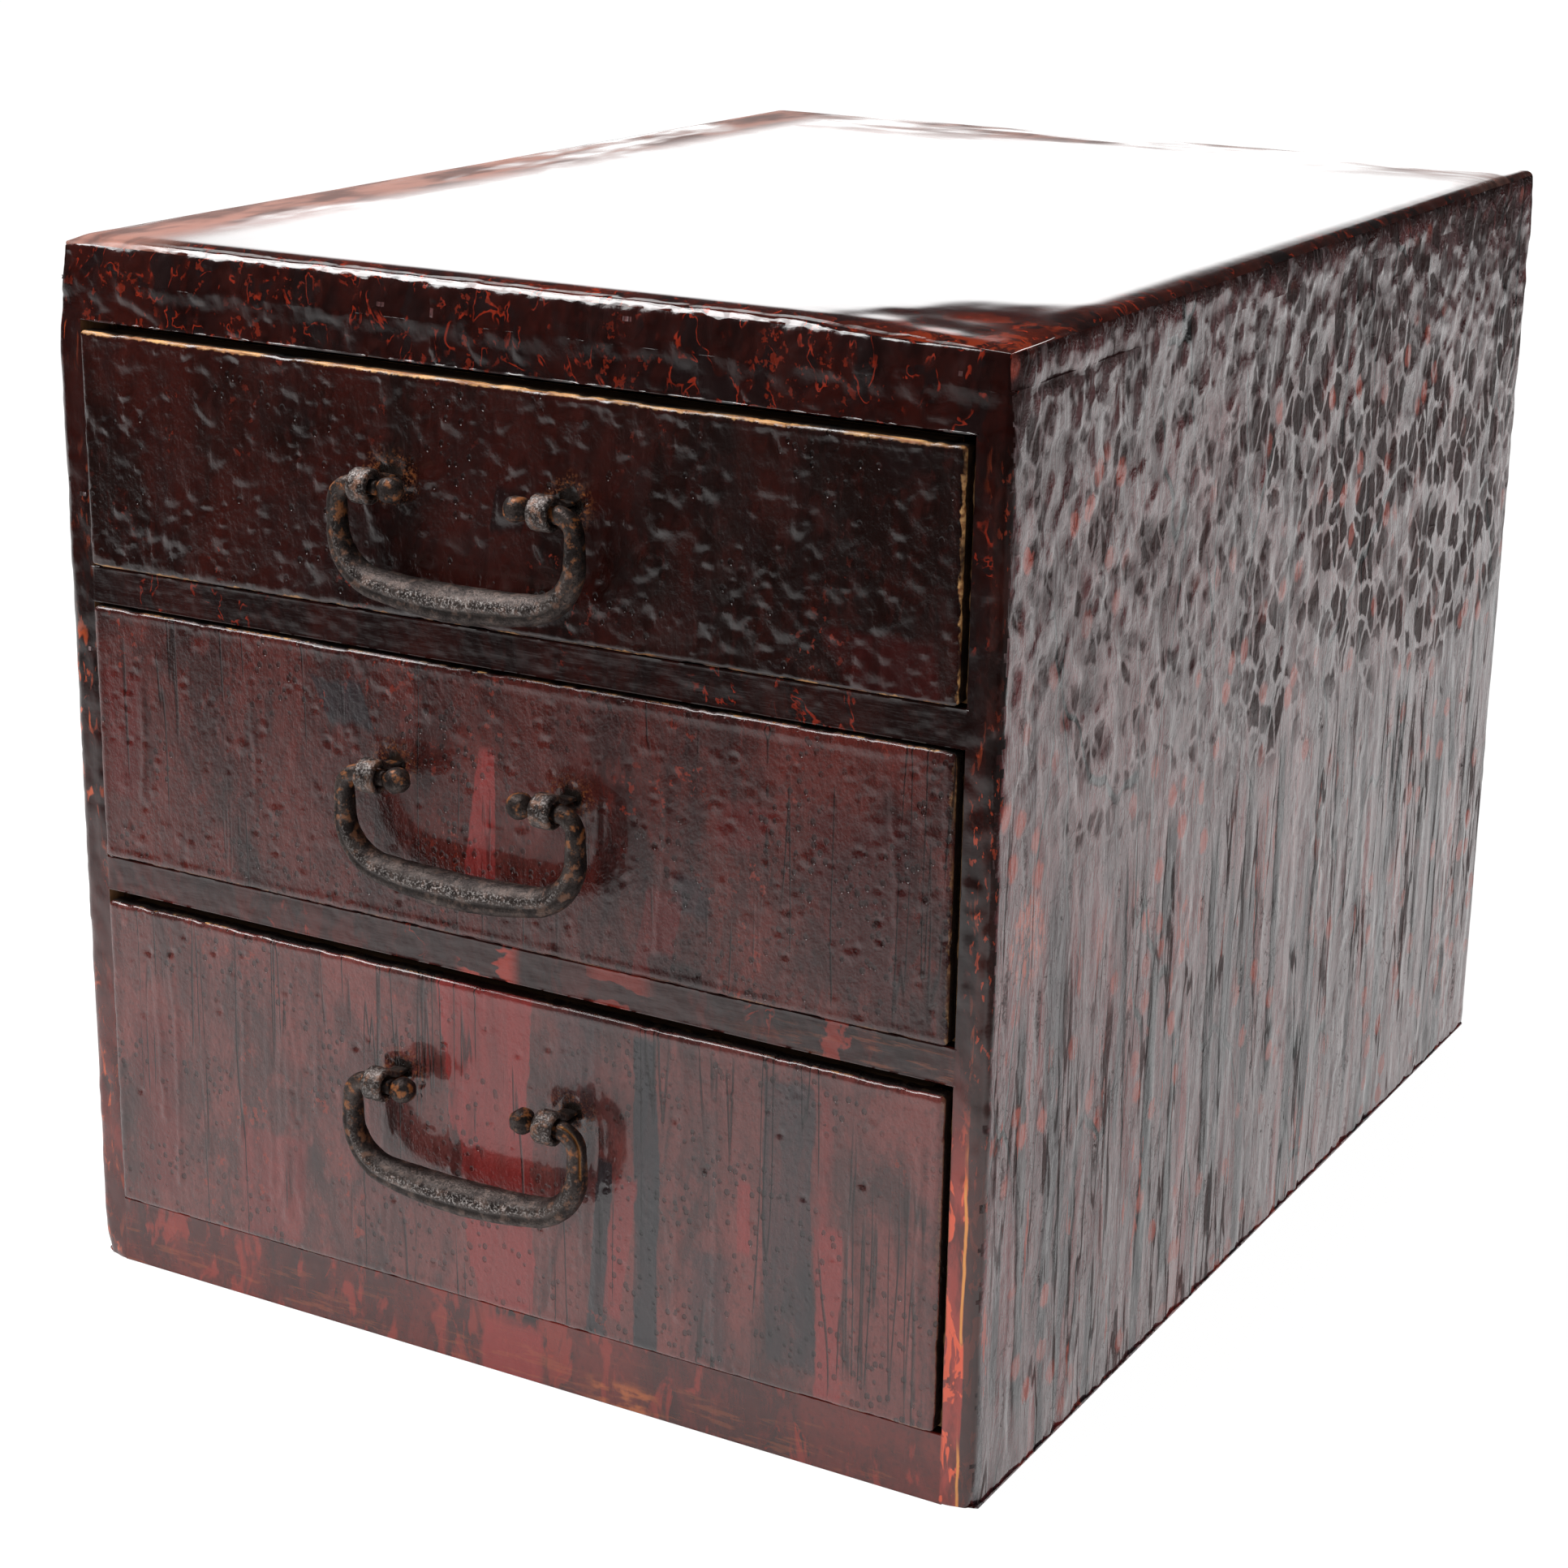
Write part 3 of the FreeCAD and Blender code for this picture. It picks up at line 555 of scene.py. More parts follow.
# Drawer fronts, one look each: how the face is dented, dimpled and run, and its bands of colour.
# A band is x, z and half its width in mm where it starts, the same where it ends, colour and strength.
drawerLooks = {
    "top": {"seed": 11, "bumps": (460, (1.2, 4.4), (-0.46, -0.10)), "pits": (140, (0.7, 2.4), (0.12, 0.5)),
            "swell": 0.20, "ripple": 0.10, "runs": 0, "ground": (tone(22, 8, 6), tone(47, 15, 11), 0.45),
            "bare": (1.3, 0.85, 0.7), "bump": (0.26, 0.5), "tiny": 0.25, "blur": 0.12, "coat": 0.7,
            "bands": [
                (-60, 262, 22, -50, 232, 26, black, 0.35), (6.5, 274, 5, 5, 262, 5, black, 0.9),
                (120, 250, 16, 128, 232, 14, maroon, 0.5)]},
    "middle": {"seed": 23, "bumps": (200, (0.9, 2.6), (-0.26, -0.06)),
               "pits": (300, (0.5, 1.5), (0.10, 0.5)), "swell": 0.14, "ripple": 0.06, "runs": 6,
               "ground": (tone(48, 19, 17), tone(82, 31, 26), 0.5),
               "bare": (0.35, 0.4, 0.3), "bump": (0.52, 0.5), "tiny": 0.75, "blur": 0.10, "coat": 0.85,
               "bands": [
                   (-3, 197, 2.6, -6, 150, 5.6, brick, 0.85), (-56, 210, 9, -50, 196, 8, blueBlack, 0.7),
                   (-136, 200, 8, -138, 160, 5, oxblood, 0.6), (84, 196, 9, 78, 182, 7, oxblood, 0.5),
                   (56, 165, 6, 52, 139, 5, oxblood, 0.7), (118, 200, 16, 122, 150, 12, maroon, 0.6),
                   (64, 172, 5, 66, 160, 5, blueBlack, 0.6), (60, 146, 9, 61, 139, 9, black, 0.7)]},
    "bottom": {"seed": 37, "bumps": (120, (0.9, 2.2), (-0.18, -0.05)),
               "pits": (170, (0.5, 1.7), (0.14, 0.6)), "swell": 0.08, "ripple": 0.05, "runs": 34,
               # The bottom front's ground is lifted grey, a painted reflection of the pale table over the
               # lacquer's own red.
               "ground": (tone(66, 36, 34), tone(104, 50, 46), 0.5),
               "bare": (0.2, 0.15, 0.25), "bump": (0.42, 0.32), "tiny": 0.6, "blur": 0.10, "coat": 1.0,
               "bands": [
                   (-5.7, 126, 16.5, 2.2, 18, 9.6, brick, 0.9), (50.6, 121, 3.8, 51, 14, 3.9, blueBlack, 0.9),
                   (37, 80, 2.6, 33, 16, 3.4, blueBlack, 0.85), (44.4, 76, 3.6, 38.8, 30, 3.6, brick, 0.7),
                   (97, 117, 8, 99, 30, 8, blueBlack, 0.7), (83.3, 84, 2.1, 83.3, 62, 2.2, brick, 0.8),
                   (111, 77, 4.2, 111.5, 21, 4.3, brick, 0.75), (108.4, 118, 1.6, 109, 76, 1.8, brick, 0.6),
                   (27, 124, 7, 27, 66, 5, blueBlack, 0.55), (-84, 60, 13, -86, 24, 10, brick, 0.4),
                   (-128, 90, 10, -130, 30, 8, oxblood, 0.5), (72, 60, 7, 72, 24, 6, blueBlack, 0.5)]},
}
eyes = {"x": (-35.5, 24.5), "top": 271.6, "middle": 186.9, "bottom": 91.3, "y": -218.35, "width": 7.0}


def drawerRelief(name, low, high):
    look = drawerLooks[name]
    seed = look["seed"]
    pick = np.random.default_rng(seed)
    items = []
    for number in range(look["runs"]):
        start = pick.uniform(low[0], high[0])
        items.append((start, high[2] - pick.uniform(0, 30), start + pick.uniform(-2, 2),
                      low[2] + pick.uniform(4, 50), pick.uniform(1.4, 3.2), pick.uniform(0.14, 0.32)))
    ranges = (low[0], high[0]), (low[2], high[2])
    marks = [spread(seed + 5, look["bumps"][0], *ranges, *look["bumps"][1:]),
             spread(seed + 6, look["pits"][0], *ranges, *look["pits"][1:]),
             [(x + 0.8, eyes[name] + 1.2, 4.6, 0.7) for x in eyes["x"]]]
    if name == "top":
        marks.append([(-90, 298.3, 2.4, 0.8), (5.5, 268, 4.5, -0.5)])

    def relief(place, out):
        x, height = place[..., 0], place[..., 2]
        face = out[..., 1] ** 2
        depth = 0.60 + look["swell"] * waves(x / 34, height / 40, seed, 3)
        depth = depth + look["ripple"] * waves(x / 3.4, height / 5, seed + 1, 3)
        depth = depth + dents(x, height, np.concatenate(marks)) - runs(x, height, items, seed + 3)
        inset = np.minimum(x - low[0], high[0] - x)
        inset = np.minimum(inset, np.minimum(height - low[2], high[2] - height))
        lip = np.exp(-((inset - 2.0) / 1.1) ** 2) * (0.7 + 0.5 * waves(x / 12, height / 12, seed + 4, 2))
        nicks = 0.3 * ease(0.1, 0.5, waves(x / 5, height / 5, seed + 9, 2))
        return np.clip(depth - 0.30 * lip, 0.03, 1.9) * face + (0.22 + nicks) * (1 - face)

    return relief


print("relief ready")


# Finishes of the case: its front, its sides and its lid.
def frontLacquer():
    material, place = newMaterial("case_front_lacquer")
    x, y, z = place.parts()
    low = 1 - z.rise(20, 170)
    fascia = z.rise(300, 306)
    upright = abs(x).rise(146.6, 147.4) * (1 - fascia)
    left = (x * -1).rise(100, 146) * (1 - fascia)
    outer = upright * (abs(x).rise(149, 154) * 0.8 + left * 0.5).least(1.0)
    colour = ground(place, tone(22, 7, 6), tone(44, 12, 8), 0.5)
    colour = (low * 0.8).blend(colour, ground(place, tone(70, 22, 18), tone(108, 34, 26), 0.35, 2))
    colour = ringed(place, colour, 0.35 + fascia * 0.55, 0, 9, tone(124, 33, 14))
    # The uprights: worn marbling at their edges, and at the right foot a red patch, a strip and a thread.
    marbled = place.noise(4, 0.3, 3, 0.6, 7, 1.2)
    worn = marbled.rise(0.55, 0.60) * outer * place.patches(30, 0.5, 8, 0.40, 0.54)
    worn = worn * (1 - (1 - left) * x.rise(152, 153))
    edge = x + (place.noise(9, 0.4, 2, 0.5, 21) - 0.5) * 2.4
    foot = (1 - z.rise(90, 128)) * upright * x.rise(0, 1)
    footShade = place.noise(7, 0.3, 4, 0.6, 23).rise(0.4, 0.6).blend(tone(84, 28, 22), tone(150, 52, 42))
    flake = place.noise(4.6, 0.4, 3, 0.6, 24, 0.6).rise(0.54, 0.58) * foot
    strip = edge.rise(152.3, 152.9) * upright
    specked = place.noise(1.9, 0.4, 3, 0.6, 29, 0.4).rise(0.60, 0.63) * upright * x.rise(148, 151)
    specked = specked * z.rise(90, 120) * place.patches(34, 0.5, 30, 0.44, 0.58)
    thread = edge.within(151.7, 152.5, 0.2) * (1 - z.rise(104, 122)) * place.patches(8, 0.2, 25, 0.38, 0.46)
    faded = place.noise(9, 0.4, 4, 0.6, 27, 0.6).rise(0.54, 0.62) * low * (1 - outer) * (1 - foot)
    # The rails: the red patch below the bottom drawer, a scrape, chips, and the grain.
    patch = (abs(x - 3.5) + (place.noise(6, 0.5, 3, 0.6, 11) - 0.5) * 14).rise(9, 13)
    scraped = (1 - abs(x - 42).rise(6, 16)) * (1 - z.rise(6, 10))
    scraped = scraped * place.noise(4, (0.4, 1, 1), 3, 0.6, 4).rise(0.42, 0.6)
    chips = place.patches(6, (0.5, 1, 1), 13, 0.49, 0.53) * z.within(127, 139, 0.5) * (1 - upright)
    chipped = (x + (place.noise(3, 1, 2, 0.6, 15) - 0.5) * 14).within(107, 113, 1)
    chips = chips * x.within(-14, 5, 3).most(x.within(30, 50, 4) * 0.5).most(chipped * 0.6)
    grained = place.noise(1.6, (0.12, 1, 1), 3, 0.6, 17)
    rails = z.within(127, 139, 1) * x.rise(60, 130) * 0.6 + (1 - z.rise(8, 20)) * 0.6
    # Inside the openings, the faces seen through the gaps are darkened with painted shade.
    gapShade = (y + 205.6).rise(0, 0.8) * (1 - abs(x).rise(150, 151))
    gapShade = gapShade * (1 - z.rise(306, 308)) * z.rise(1.0, 2.0)
    colour = colour.painted(
        (flecks(place, 0.4) * fascia * 0.5, tone(120, 34, 14)),
        (worn * 0.9, marbled.rise(0.58, 0.66).blend(tone(120, 46, 24), tone(176, 74, 36))),
        (foot * 0.85, footShade),
        (flake * 0.9, tone(214, 84, 50)),
        (strip * 0.9, ground(place, tone(26, 12, 10), tone(62, 24, 18), 0.4, 4)),
        (specked * 0.8, tone(164, 58, 28)),
        (thread, tone(208, 134, 62)),
        (faded * 0.6, tone(140, 44, 32)),
        ((1 - patch) * (1 - z.rise(15, 21)) * 0.85, tone(132, 38, 34)),
        (scraped * 0.8, tone(172, 92, 44)),
        (chips * 0.85, tone(150, 48, 34)),
        (grained.rise(0.54, 0.66) * rails * (1 - upright) * 0.4, tone(158, 84, 46)),
        (gapShade, tone(6, 4, 4)))
    height = wrinkles(place, 0, 0.14, 0.4) + grained * (1 - fascia) * (1 - upright) * 0.2
    height = height + place.noise(6.0, 0.8, 1, 0.4, 28) * z.rise(311, 318) * 1.8
    coat = (1 - gapShade) * (1 - fascia * 0.3)
    finish(colour, gloss(place, 0.18, 0.32) + gapShade * 0.4, height, coat=coat, shine=0.25)
    return material


def sideLacquer():
    material, place = newMaterial("case_side_lacquer")
    x, y, z = place.parts()
    depth = y + toDepth
    low = 1 - z.rise(90, 230)
    upper = (z + (place.noise(45, 1, 2, 0.5, 1) - 0.5) * 90).rise(158, 196)
    upper = upper * (1 - (1 - (y + 206).rise(8, 50)) * (1 - z.rise(215, 262)) * 0.8)
    lower = 1 - upper
    back = y.rise(-90, 10) * (1 - y.rise(190, 223) * 0.6)
    right = x.rise(150, 156)
    fringe = z.within(292, 320, 5)
    blue = place.patches(10, 0.06, 16, 0.55, 0.61) * lower
    red = place.noise(12, 0.07, 3, 0.5, 18).rise(0.57, 0.64)
    colour = ground(place, tone(88, 42, 46), tone(126, 62, 64), 0.3, 3).painted(
        (fringe * 0.45, tone(112, 96, 97)),
        (blue * (0.3 + low * 0.5), tone(40, 38, 44)),
        (red * (0.15 + low * 0.6), tone(156, 54, 50)))
    bend = place.noise(7, 0.5, 3, 0.6, 19) - 0.5
    dull = blue * 0.3
    for startY, startZ, endY, endZ, width, rise, shade in sideRuns:
        part = (startZ - z) * (1 / (startZ - endZ))
        across = depth - startY + bend * 5 - part * (endY - startY)
        along = z.within(endZ, startZ, 8) * right
        mask = (1 - (abs(across) - width * 0.45).rise(-0.4, 0.5)) * along
        # Each run's left edge gets a dark line of painted shade.
        seam = (1 - abs(across + width * 0.5).rise(0.3, 1.1)) * along
        colour = colour.painted((mask * 0.85, shade), (seam * 0.8, tone(24, 14, 14)))
        dull = dull.most(mask * 0.35).most(seam * 0.9)
    # High up the lacquer lies in bowls and leathery hollows, darkened with painted shade, most where the
    # board sinks deepest.
    crumbs = place.noise(1.5, 0.9, 3, 0.7, 47)
    edge, own = place.net(7.6, 0.6, 31, 1.3)
    bowl = edge.rise(0.045, 0.15) * own.rise(0.15, 0.5)
    edge, own = place.net(5.4, 0.62, 35, 1.2)
    leather = edge.rise(0.03, 0.24) * own.rise(0.1, 0.8)
    hollowShade = bowl * upper * back * (0.35 + 0.65 * place.patches(34, 0.9, 46, 0.36, 0.58))
    hollowShade = hollowShade + leather * upper * (1 - back) * 0.55
    hollowShade = (hollowShade + (halfCase - abs(x)).rise(0.8, 1.8) * upper * 0.6) * (0.75 + crumbs)
    # Lower down it is pulled into ragged strands, with crumbly pits between them, darkened with painted
    # shade.
    torn = place.noise(24, 0.6, 3, 0.6, 52).rise(0.44, 0.60)
    edge, own = place.net(4.6, 0.2, 51, 0.9)
    pit = edge.rise(0.10, 0.3) * own.rise(0.62, 0.74) * torn * lower
    shreds = (1 - edge.rise(0.0, 0.12)) * own.rise(0.2, 0.5) * lower
    edge, own = place.net(3.4, 0.55, 57, 1.2)
    nicks = (1 - edge.rise(0.02, 0.10)) * own.rise(0.5, 0.7) * (0.35 + torn * 0.65) * lower
    hollowShade = hollowShade + pit * crumbs.rise(0.35, 0.6) * 0.8 + nicks * crumbs.rise(0.4, 0.6) * 0.6
    # Along the strands run thin lines of painted shade and painted highlight.
    drawn = place.noise(13, 0.09, 3, 0.55, 59) - 0.5 + (crumbs - 0.5) * 0.02
    shaded = drawn.within(-0.035, -0.008, 0.006) * lower * place.patches(30, 0.4, 60, 0.38, 0.52)
    lit = drawn.within(0.0, 0.014, 0.006) * lower
    hollowShade = hollowShade.least(1.0).most(shaded * 0.95)
    clotted = place.noise(5, 0.14, 4, 0.66, 58).rise(0.50, 0.66) * lower
    dull = dull.most(clotted * (0.45 - back * 0.2))
    ragged = place.noise(2.4, 0.8, 2, 0.5, 20) - 0.5
    chips = (place + ragged * 2.5).spots(11, 0.8, 0.36, 0.36, 3)
    chips = chips * place.patches(45, 0.6, 22, 0.40, 0.54) * (1 - fringe)
    smears = place.noise(4.4, 0.16, 3, 0.6, 54).rise(0.61, 0.64) * low
    chips = chips.most(smears * place.patches(30, 0.4, 55, 0.50, 0.60))
    away = ((y + 184) * 0.075) ** 2 + ((z - 164) * 0.065) ** 2
    rubbed = (1 - away.rise(0.3, 1.2)) * place.noise(3, 0.5, 3, 0.7, 26).rise(0.45, 0.6) * right
    cut = (1 - place.net(30, 0.28, 30)[0].rise(0.006, 0.016)) * place.patches(50, 0.5, 32, 0.48, 0.56)
    rim = (1 - (depth + (crumbs - 0.5) * 3).rise(1.5, 3.5)) * (1 - z.rise(312, 316))
    band = (z + (crumbs - 0.5) * 5).rise(321, 326)
    foot = 1 - (z + place.noise(3, 1, 2, 0.5, 2) * 7 - 3.0).rise(0.1, 0.9)
    foot = foot * place.patches(9, 1, 4, 0.52, 0.60)
    edge, own = place.net(3.3, 0.6, 37, 1.2)
    ridges = (1 - edge.rise(0.0, 0.13)) * own.rise(0.3, 0.6)
    threads = 1 - abs(place.noise(13, 0.2, 3, 0.6, 44, 0.5) - 0.5).rise(0.0, 0.024)
    # Painted highlights on the threads, the shreds and the strands' lit edges.
    paintedHighlight = (threads * upper * 0.34).most(shreds * torn * 0.2).most(lit * 0.42)
    colour = colour.painted(
        (hollowShade * 0.8, tone(46, 24, 19)),
        (chips * 0.85, tone(196, 92, 76)),
        (rubbed * 0.85, tone(206, 92, 66)),
        (cut, tone(14, 8, 8)),
        (rim * 0.9, tone(34, 16, 13)),
        (band * 0.85, ground(place, tone(34, 11, 10), tone(66, 20, 14), 0.5, 6)),
        (foot * 0.6, tone(48, 30, 28)),
        (paintedHighlight * (1 - chips), tone(170, 150, 152)))
    streaks = place.noise(3.6, 0.16, 4, 0.65, 40, 0.3)
    pitted = place.patches(28, 0.8, 48, 0.42, 0.6)
    height = place.noise(1.1, 0.9, 3, 0.6, 42) * (0.16 + upper * 0.14 + pitted * 0.18)
    height = height + (streaks * 0.5 + lit * 0.6 - shaded * 0.5) * lower
    height = height - upper * (bowl * back * 0.5 + leather * (1 - back) * 0.35)
    height = height + threads * (0.16 + upper * 0.60) + ridges * upper * 0.26 + shreds * (0.06 + torn * 0.26)
    height = height + crumbs * (hollowShade * 0.6 + torn * lower * 0.22)
    height = height - pit * 0.4 - nicks * 0.3 - cut * 0.5 + chips * 0.12
    roughness = gloss(place, 0.16, 0.26) + hollowShade * 0.3 + dull * 0.1
    hidden = hollowShade.most(chips * 0.4).most(rim * 0.8).most(dull)
    finish(colour, roughness, height, coat=1 - hidden * 0.95, blur=0.05, shine=0.22)
    return material


# The back board is plainer: the same lacquer, brushed downwards.
def backLacquer():
    material, place = newMaterial("case_back_lacquer")
    z = place.parts()[2]
    brushed = place.noise(5, 0.06, 4, 0.65, 71)
    dusty = place.noise(50, 1, 4, 0.6, 73).rise(0.46, 0.7)
    scuffed = place.noise(7, 0.6, 4, 0.7, 75).rise(0.63, 0.67) * (1 - z.rise(20, 70)).most(z.rise(250, 312))
    colour = ground(place, tone(54, 20, 18), tone(88, 34, 30), 0.45, 8).painted(
        (brushed.rise(0.5, 0.68) * 0.5, tone(42, 26, 24)),
        (brushed.rise(0.36, 0.28) * 0.4, tone(112, 52, 46)),
        (dusty * 0.35, tone(116, 100, 94)),
        (scuffed * 0.7, tone(132, 72, 48)))
    height = wrinkles(place, 7, 0.2, 0.4) + brushed * 0.5 - scuffed * 0.1
    roughness = gloss(place, 0.28, 0.42) + dusty * 0.15
    finish(colour, roughness, height, coat=0.8 - dusty * 0.3, blur=0.12, shine=0.3)
    return material


def lidLacquer():
    material, place = newMaterial("case_lid_lacquer")
    x, y, z = place.parts()
    depth, fromLeft, fromBack = y + toDepth, x + halfCase, caseDepth - toDepth - y
    wobble = place.noise(8, 1, 2, 0.5, 2) * 4 - 2
    inset = (halfCase - abs(x)).least(depth).least(fromBack)
    nearCorner = 1 - (((halfCase - x) ** 2.0 + depth ** 2.0) ** 0.5 + wobble * 3).rise(24, 62)
    rimmed = (1 - (inset + wobble * 2).rise(6, 18)).most(nearCorner)
    rim = ringed(place, ground(place, tone(34, 12, 10), tone(80, 26, 14), 0.4, 5), 0.9, 9)
    marbled = place.noise(11, 1, 3, 0.6, 7, 0.6).rise(0.53, 0.60) * nearCorner
    specks = place.spots(11, 1, 0.10, 0.07, 3)
    # The left and back margins are worn dull, and their pink-brown colour holds a painted sheen as well.
    worn = (1 - fromLeft.rise(24, 52)) * place.noise(26, (1, 0.3, 1), 3, 0.55, 31).rise(0.33, 0.50)
    behind = place.noise(26, (0.3, 1, 1), 3, 0.55, 33).rise(0.40, 0.62)
    worn = worn.most((1 - fromBack.rise(24, 84)) * behind)
    core = worn.rise(0.35, 0.9) * place.noise(14, (1, 0.35, 1), 3, 0.6, 35).rise(0.38, 0.62)
    smear = place.noise(60, (1, 0.5, 1), 3, 0.6, 23).rise(0.45, 0.7)
    colour = smear.blend(tone(44, 14, 13), tone(96, 28, 22)).painted(
        (rimmed, rim),
        (marbled * 0.8, tone(136, 46, 20)),
        (specks, black),
        (worn * 0.85, core.blend(tone(160, 112, 98), tone(100, 68, 60))))
    beaded = 1 - (depth + (place.noise(9, 1, 2, 0.5, 38) - 0.5) * 3).rise(2.5, 6.0)
    beads = place.noise(6.4, 1, 1, 0.4, 36) * 2.1
    height = wrinkles(place, 3, 0.02, 0.03) - specks * 0.2 + beads * beaded
    coat = (1 - 0.95 * worn) * (1 - 0.75 * nearCorner * inset.rise(3, 7))
    finish(colour, gloss(place, 0.09, 0.14) + worn * 0.45, height, coat=coat, blur=0.04, shine=0.3)
    return material


# Woods, each with its grain along one axis.
def bareWood(name, along, light, dark, shift=0.0, stain=0.3, gapShadeTo=None):
    material, place = newMaterial(name)
    stretch = tuple(0.03 if axis == along else 1.0 for axis in "xyz")
    grain = place.noise(3.2, stretch, 4, 0.6, shift, 0.4)
    pores = place.noise(0.7, stretch, 2, 0.6, shift + 5)
    board = place.noise(45, stretch, 2, 0.5, shift + 11)
    dirt = place.noise(60, 1, 4, 0.6, shift + 15).rise(0.5, 0.75)
    colour = grain.rise(0.35, 0.7).blend(light, dark).painted(
        (board.rise(0.45, 0.7) * 0.45, dark),
        (pores.rise(0.58, 0.7) * 0.35, tuple(value * 0.4 for value in dark)),
        (dirt * stain, tone(60, 38, 26)))
    # Towards the front, where it shows through the gaps, the bare wood is darkened with painted shade.
    if gapShadeTo is not None:
        gapShadeWood = 1 - place.parts()[1].rise(gapShadeTo - 0.4, gapShadeTo)
        colour = (gapShadeWood * 0.92).blend(colour, tone(24, 15, 11))
    finish(colour, 0.62 + grain * 0.2, grain * 0.12 + pores * 0.10)
    return material


woods = {
    "case": bareWood("bare_wood_case", "y", tone(170, 122, 80), tone(118, 76, 44), 3, 0.6),
    "upright": bareWood("bare_wood_side", "z", tone(164, 116, 76), tone(112, 72, 42), 4, 0.6),
    "drawer": bareWood("bare_wood_drawer", "y", tone(190, 146, 100), tone(146, 100, 60), 7, 0.35),
    "cross": bareWood("bare_wood_cross", "x", tone(188, 144, 98), tone(142, 96, 58), 9, 0.35),
    "peg": bareWood("peg_wood", "x", tone(150, 100, 60), tone(98, 60, 34), 13, 0.2),
    "front": bareWood("bare_wood_front", "x", tone(180, 136, 92), tone(134, 90, 54), 15, 0.5, -195.6),
    "rail": bareWood("bare_wood_rail", "x", tone(150, 106, 70), tone(104, 68, 42), 17, 0.6, -184.0),
}
caseFinish = sideLacquer(), frontLacquer(), lidLacquer(), backLacquer()
print("case materials ready")


# Case boards.
grid = {"side": (1.25, 1.3), "lid": (1.3, 1.6), "rail": (0.9, 0.8), "back": (1.6, 2.4), "drawer": (0.9, 0.9)}
grid = {key: tuple(step * coarse for step in value) for key, value in grid.items()}
corner = 4.0


def makeCase():
    side, front, lid, behind = caseFinish
    for node, face in (("left_side", "-x"), ("right_side", "+x")):
        low, high = span(node)
        piece = coatedBoard(node + "_lacquered", low, high, face, (corner, corner, 0.5, 0), grid["side"],
                            caseRelief, zones=caseZones)
        fit(piece, "case", [node], "case_lacquer", side, woods["upright"], front, lid)
    low, high = span("top_board")
    piece = coatedBoard("top_board_lacquered", low, high, "+z", (corner,) * 4, grid["lid"],
                        caseRelief, zones=caseZones)
    fit(piece, "case", ["top_board"], "case_lacquer", side, woods["case"], front, lid)
    low, high = span("back_board")
    low[0], high[0] = -halfRail, halfRail
    piece = coatedBoard("back_board_lacquered", low, high, "+y", (0, 0, 0.8, 0), grid["back"], caseRelief)
    fit(piece, "case", ["back_board"], "case_lacquer", behind, woods["upright"])
    leans = {"top_rail": (0, 0), "upper_rail": (1.2, 1.2), "lower_rail": (0, 0), "bottom_rail": (0, 0)}
    for node, lean in leans.items():
        low, high = span(node)
        low[0], high[0] = -halfRail, halfRail
        low[2] += lean[0]
        high[2] -= lean[1]
        radii = (0, 0, 0.5 if node == "bottom_rail" else 0.6, 0 if node == "top_rail" else 0.6)
        piece = coatedBoard(node + "_lacquered", low, high, "-y", radii, grid["rail"], caseRelief, 4, lean)
        fit(piece, "case", [node], "case_lacquer", front, woods["rail"])


# The case pegs, cut short so that the lacquer covers their heads: their places are the solids' own.
def makePegs():
    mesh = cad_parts["case_pegs"].data
    points = np.array([vertex.co for vertex in mesh.vertices]) / mm
    points, merged = np.unique(np.round(points, 2), axis=0, return_inverse=True)
    group = np.arange(len(points))
    ends = merged.ravel()[np.array([edge.vertices for edge in mesh.edges])]
    while True:
        lowest = np.minimum(group[ends[:, 0]], group[ends[:, 1]])
        joined = group.copy()
        np.minimum.at(joined, ends[:, 0], lowest)
        np.minimum.at(joined, ends[:, 1], lowest)
        if (joined == group).all():
            break
        group = joined
    allPoints, faces = [], []
    middle = np.array([0.0, 8.65, 165.0])
    for number in np.unique(group):
        own = points[group == number]
        low, high = own.min(0), own.max(0)
        axis = int(np.argmax(high - low))
        centre = (low + high) / 2
        outward = 1 if centre[axis] > middle[axis] else -1
        head, tip = (high, low) if outward > 0 else (low, high)
        others = [k for k in range(3) if k != axis]
        for at, radius in ((head[axis] - outward * 2.6, 1.0), (head[axis] - outward * 3.0, 1.5),
                           (tip[axis] + outward * 1.0, 1.3), (tip[axis], 0.7)):
            ring = np.zeros((10, 3))
            ring[:, axis] = at
            turns = np.arange(10) * math.pi / 5
            ring[:, others[0]] = centre[others[0]] + radius * np.cos(turns)
            ring[:, others[1]] = centre[others[1]] + radius * np.sin(turns)
            allPoints.append(ring)
        first = (len(allPoints) - 4) * 10
        for row in range(3):
            for k in range(10):
                after = (k + 1) % 10
                base = first + row * 10
                faces.append((base + k, base + after, base + 10 + after, base + 10 + k))
        faces += [tuple(range(first, first + 10)), tuple(range(first + 39, first + 29, -1))]
    piece = makePiece("case_pegs_cut", np.concatenate(allPoints), faces, sharp=40)
    fit(piece, "case", ["case_pegs"], "peg_wood", woods["peg"])


makeCase()
makePegs()
print("case made")


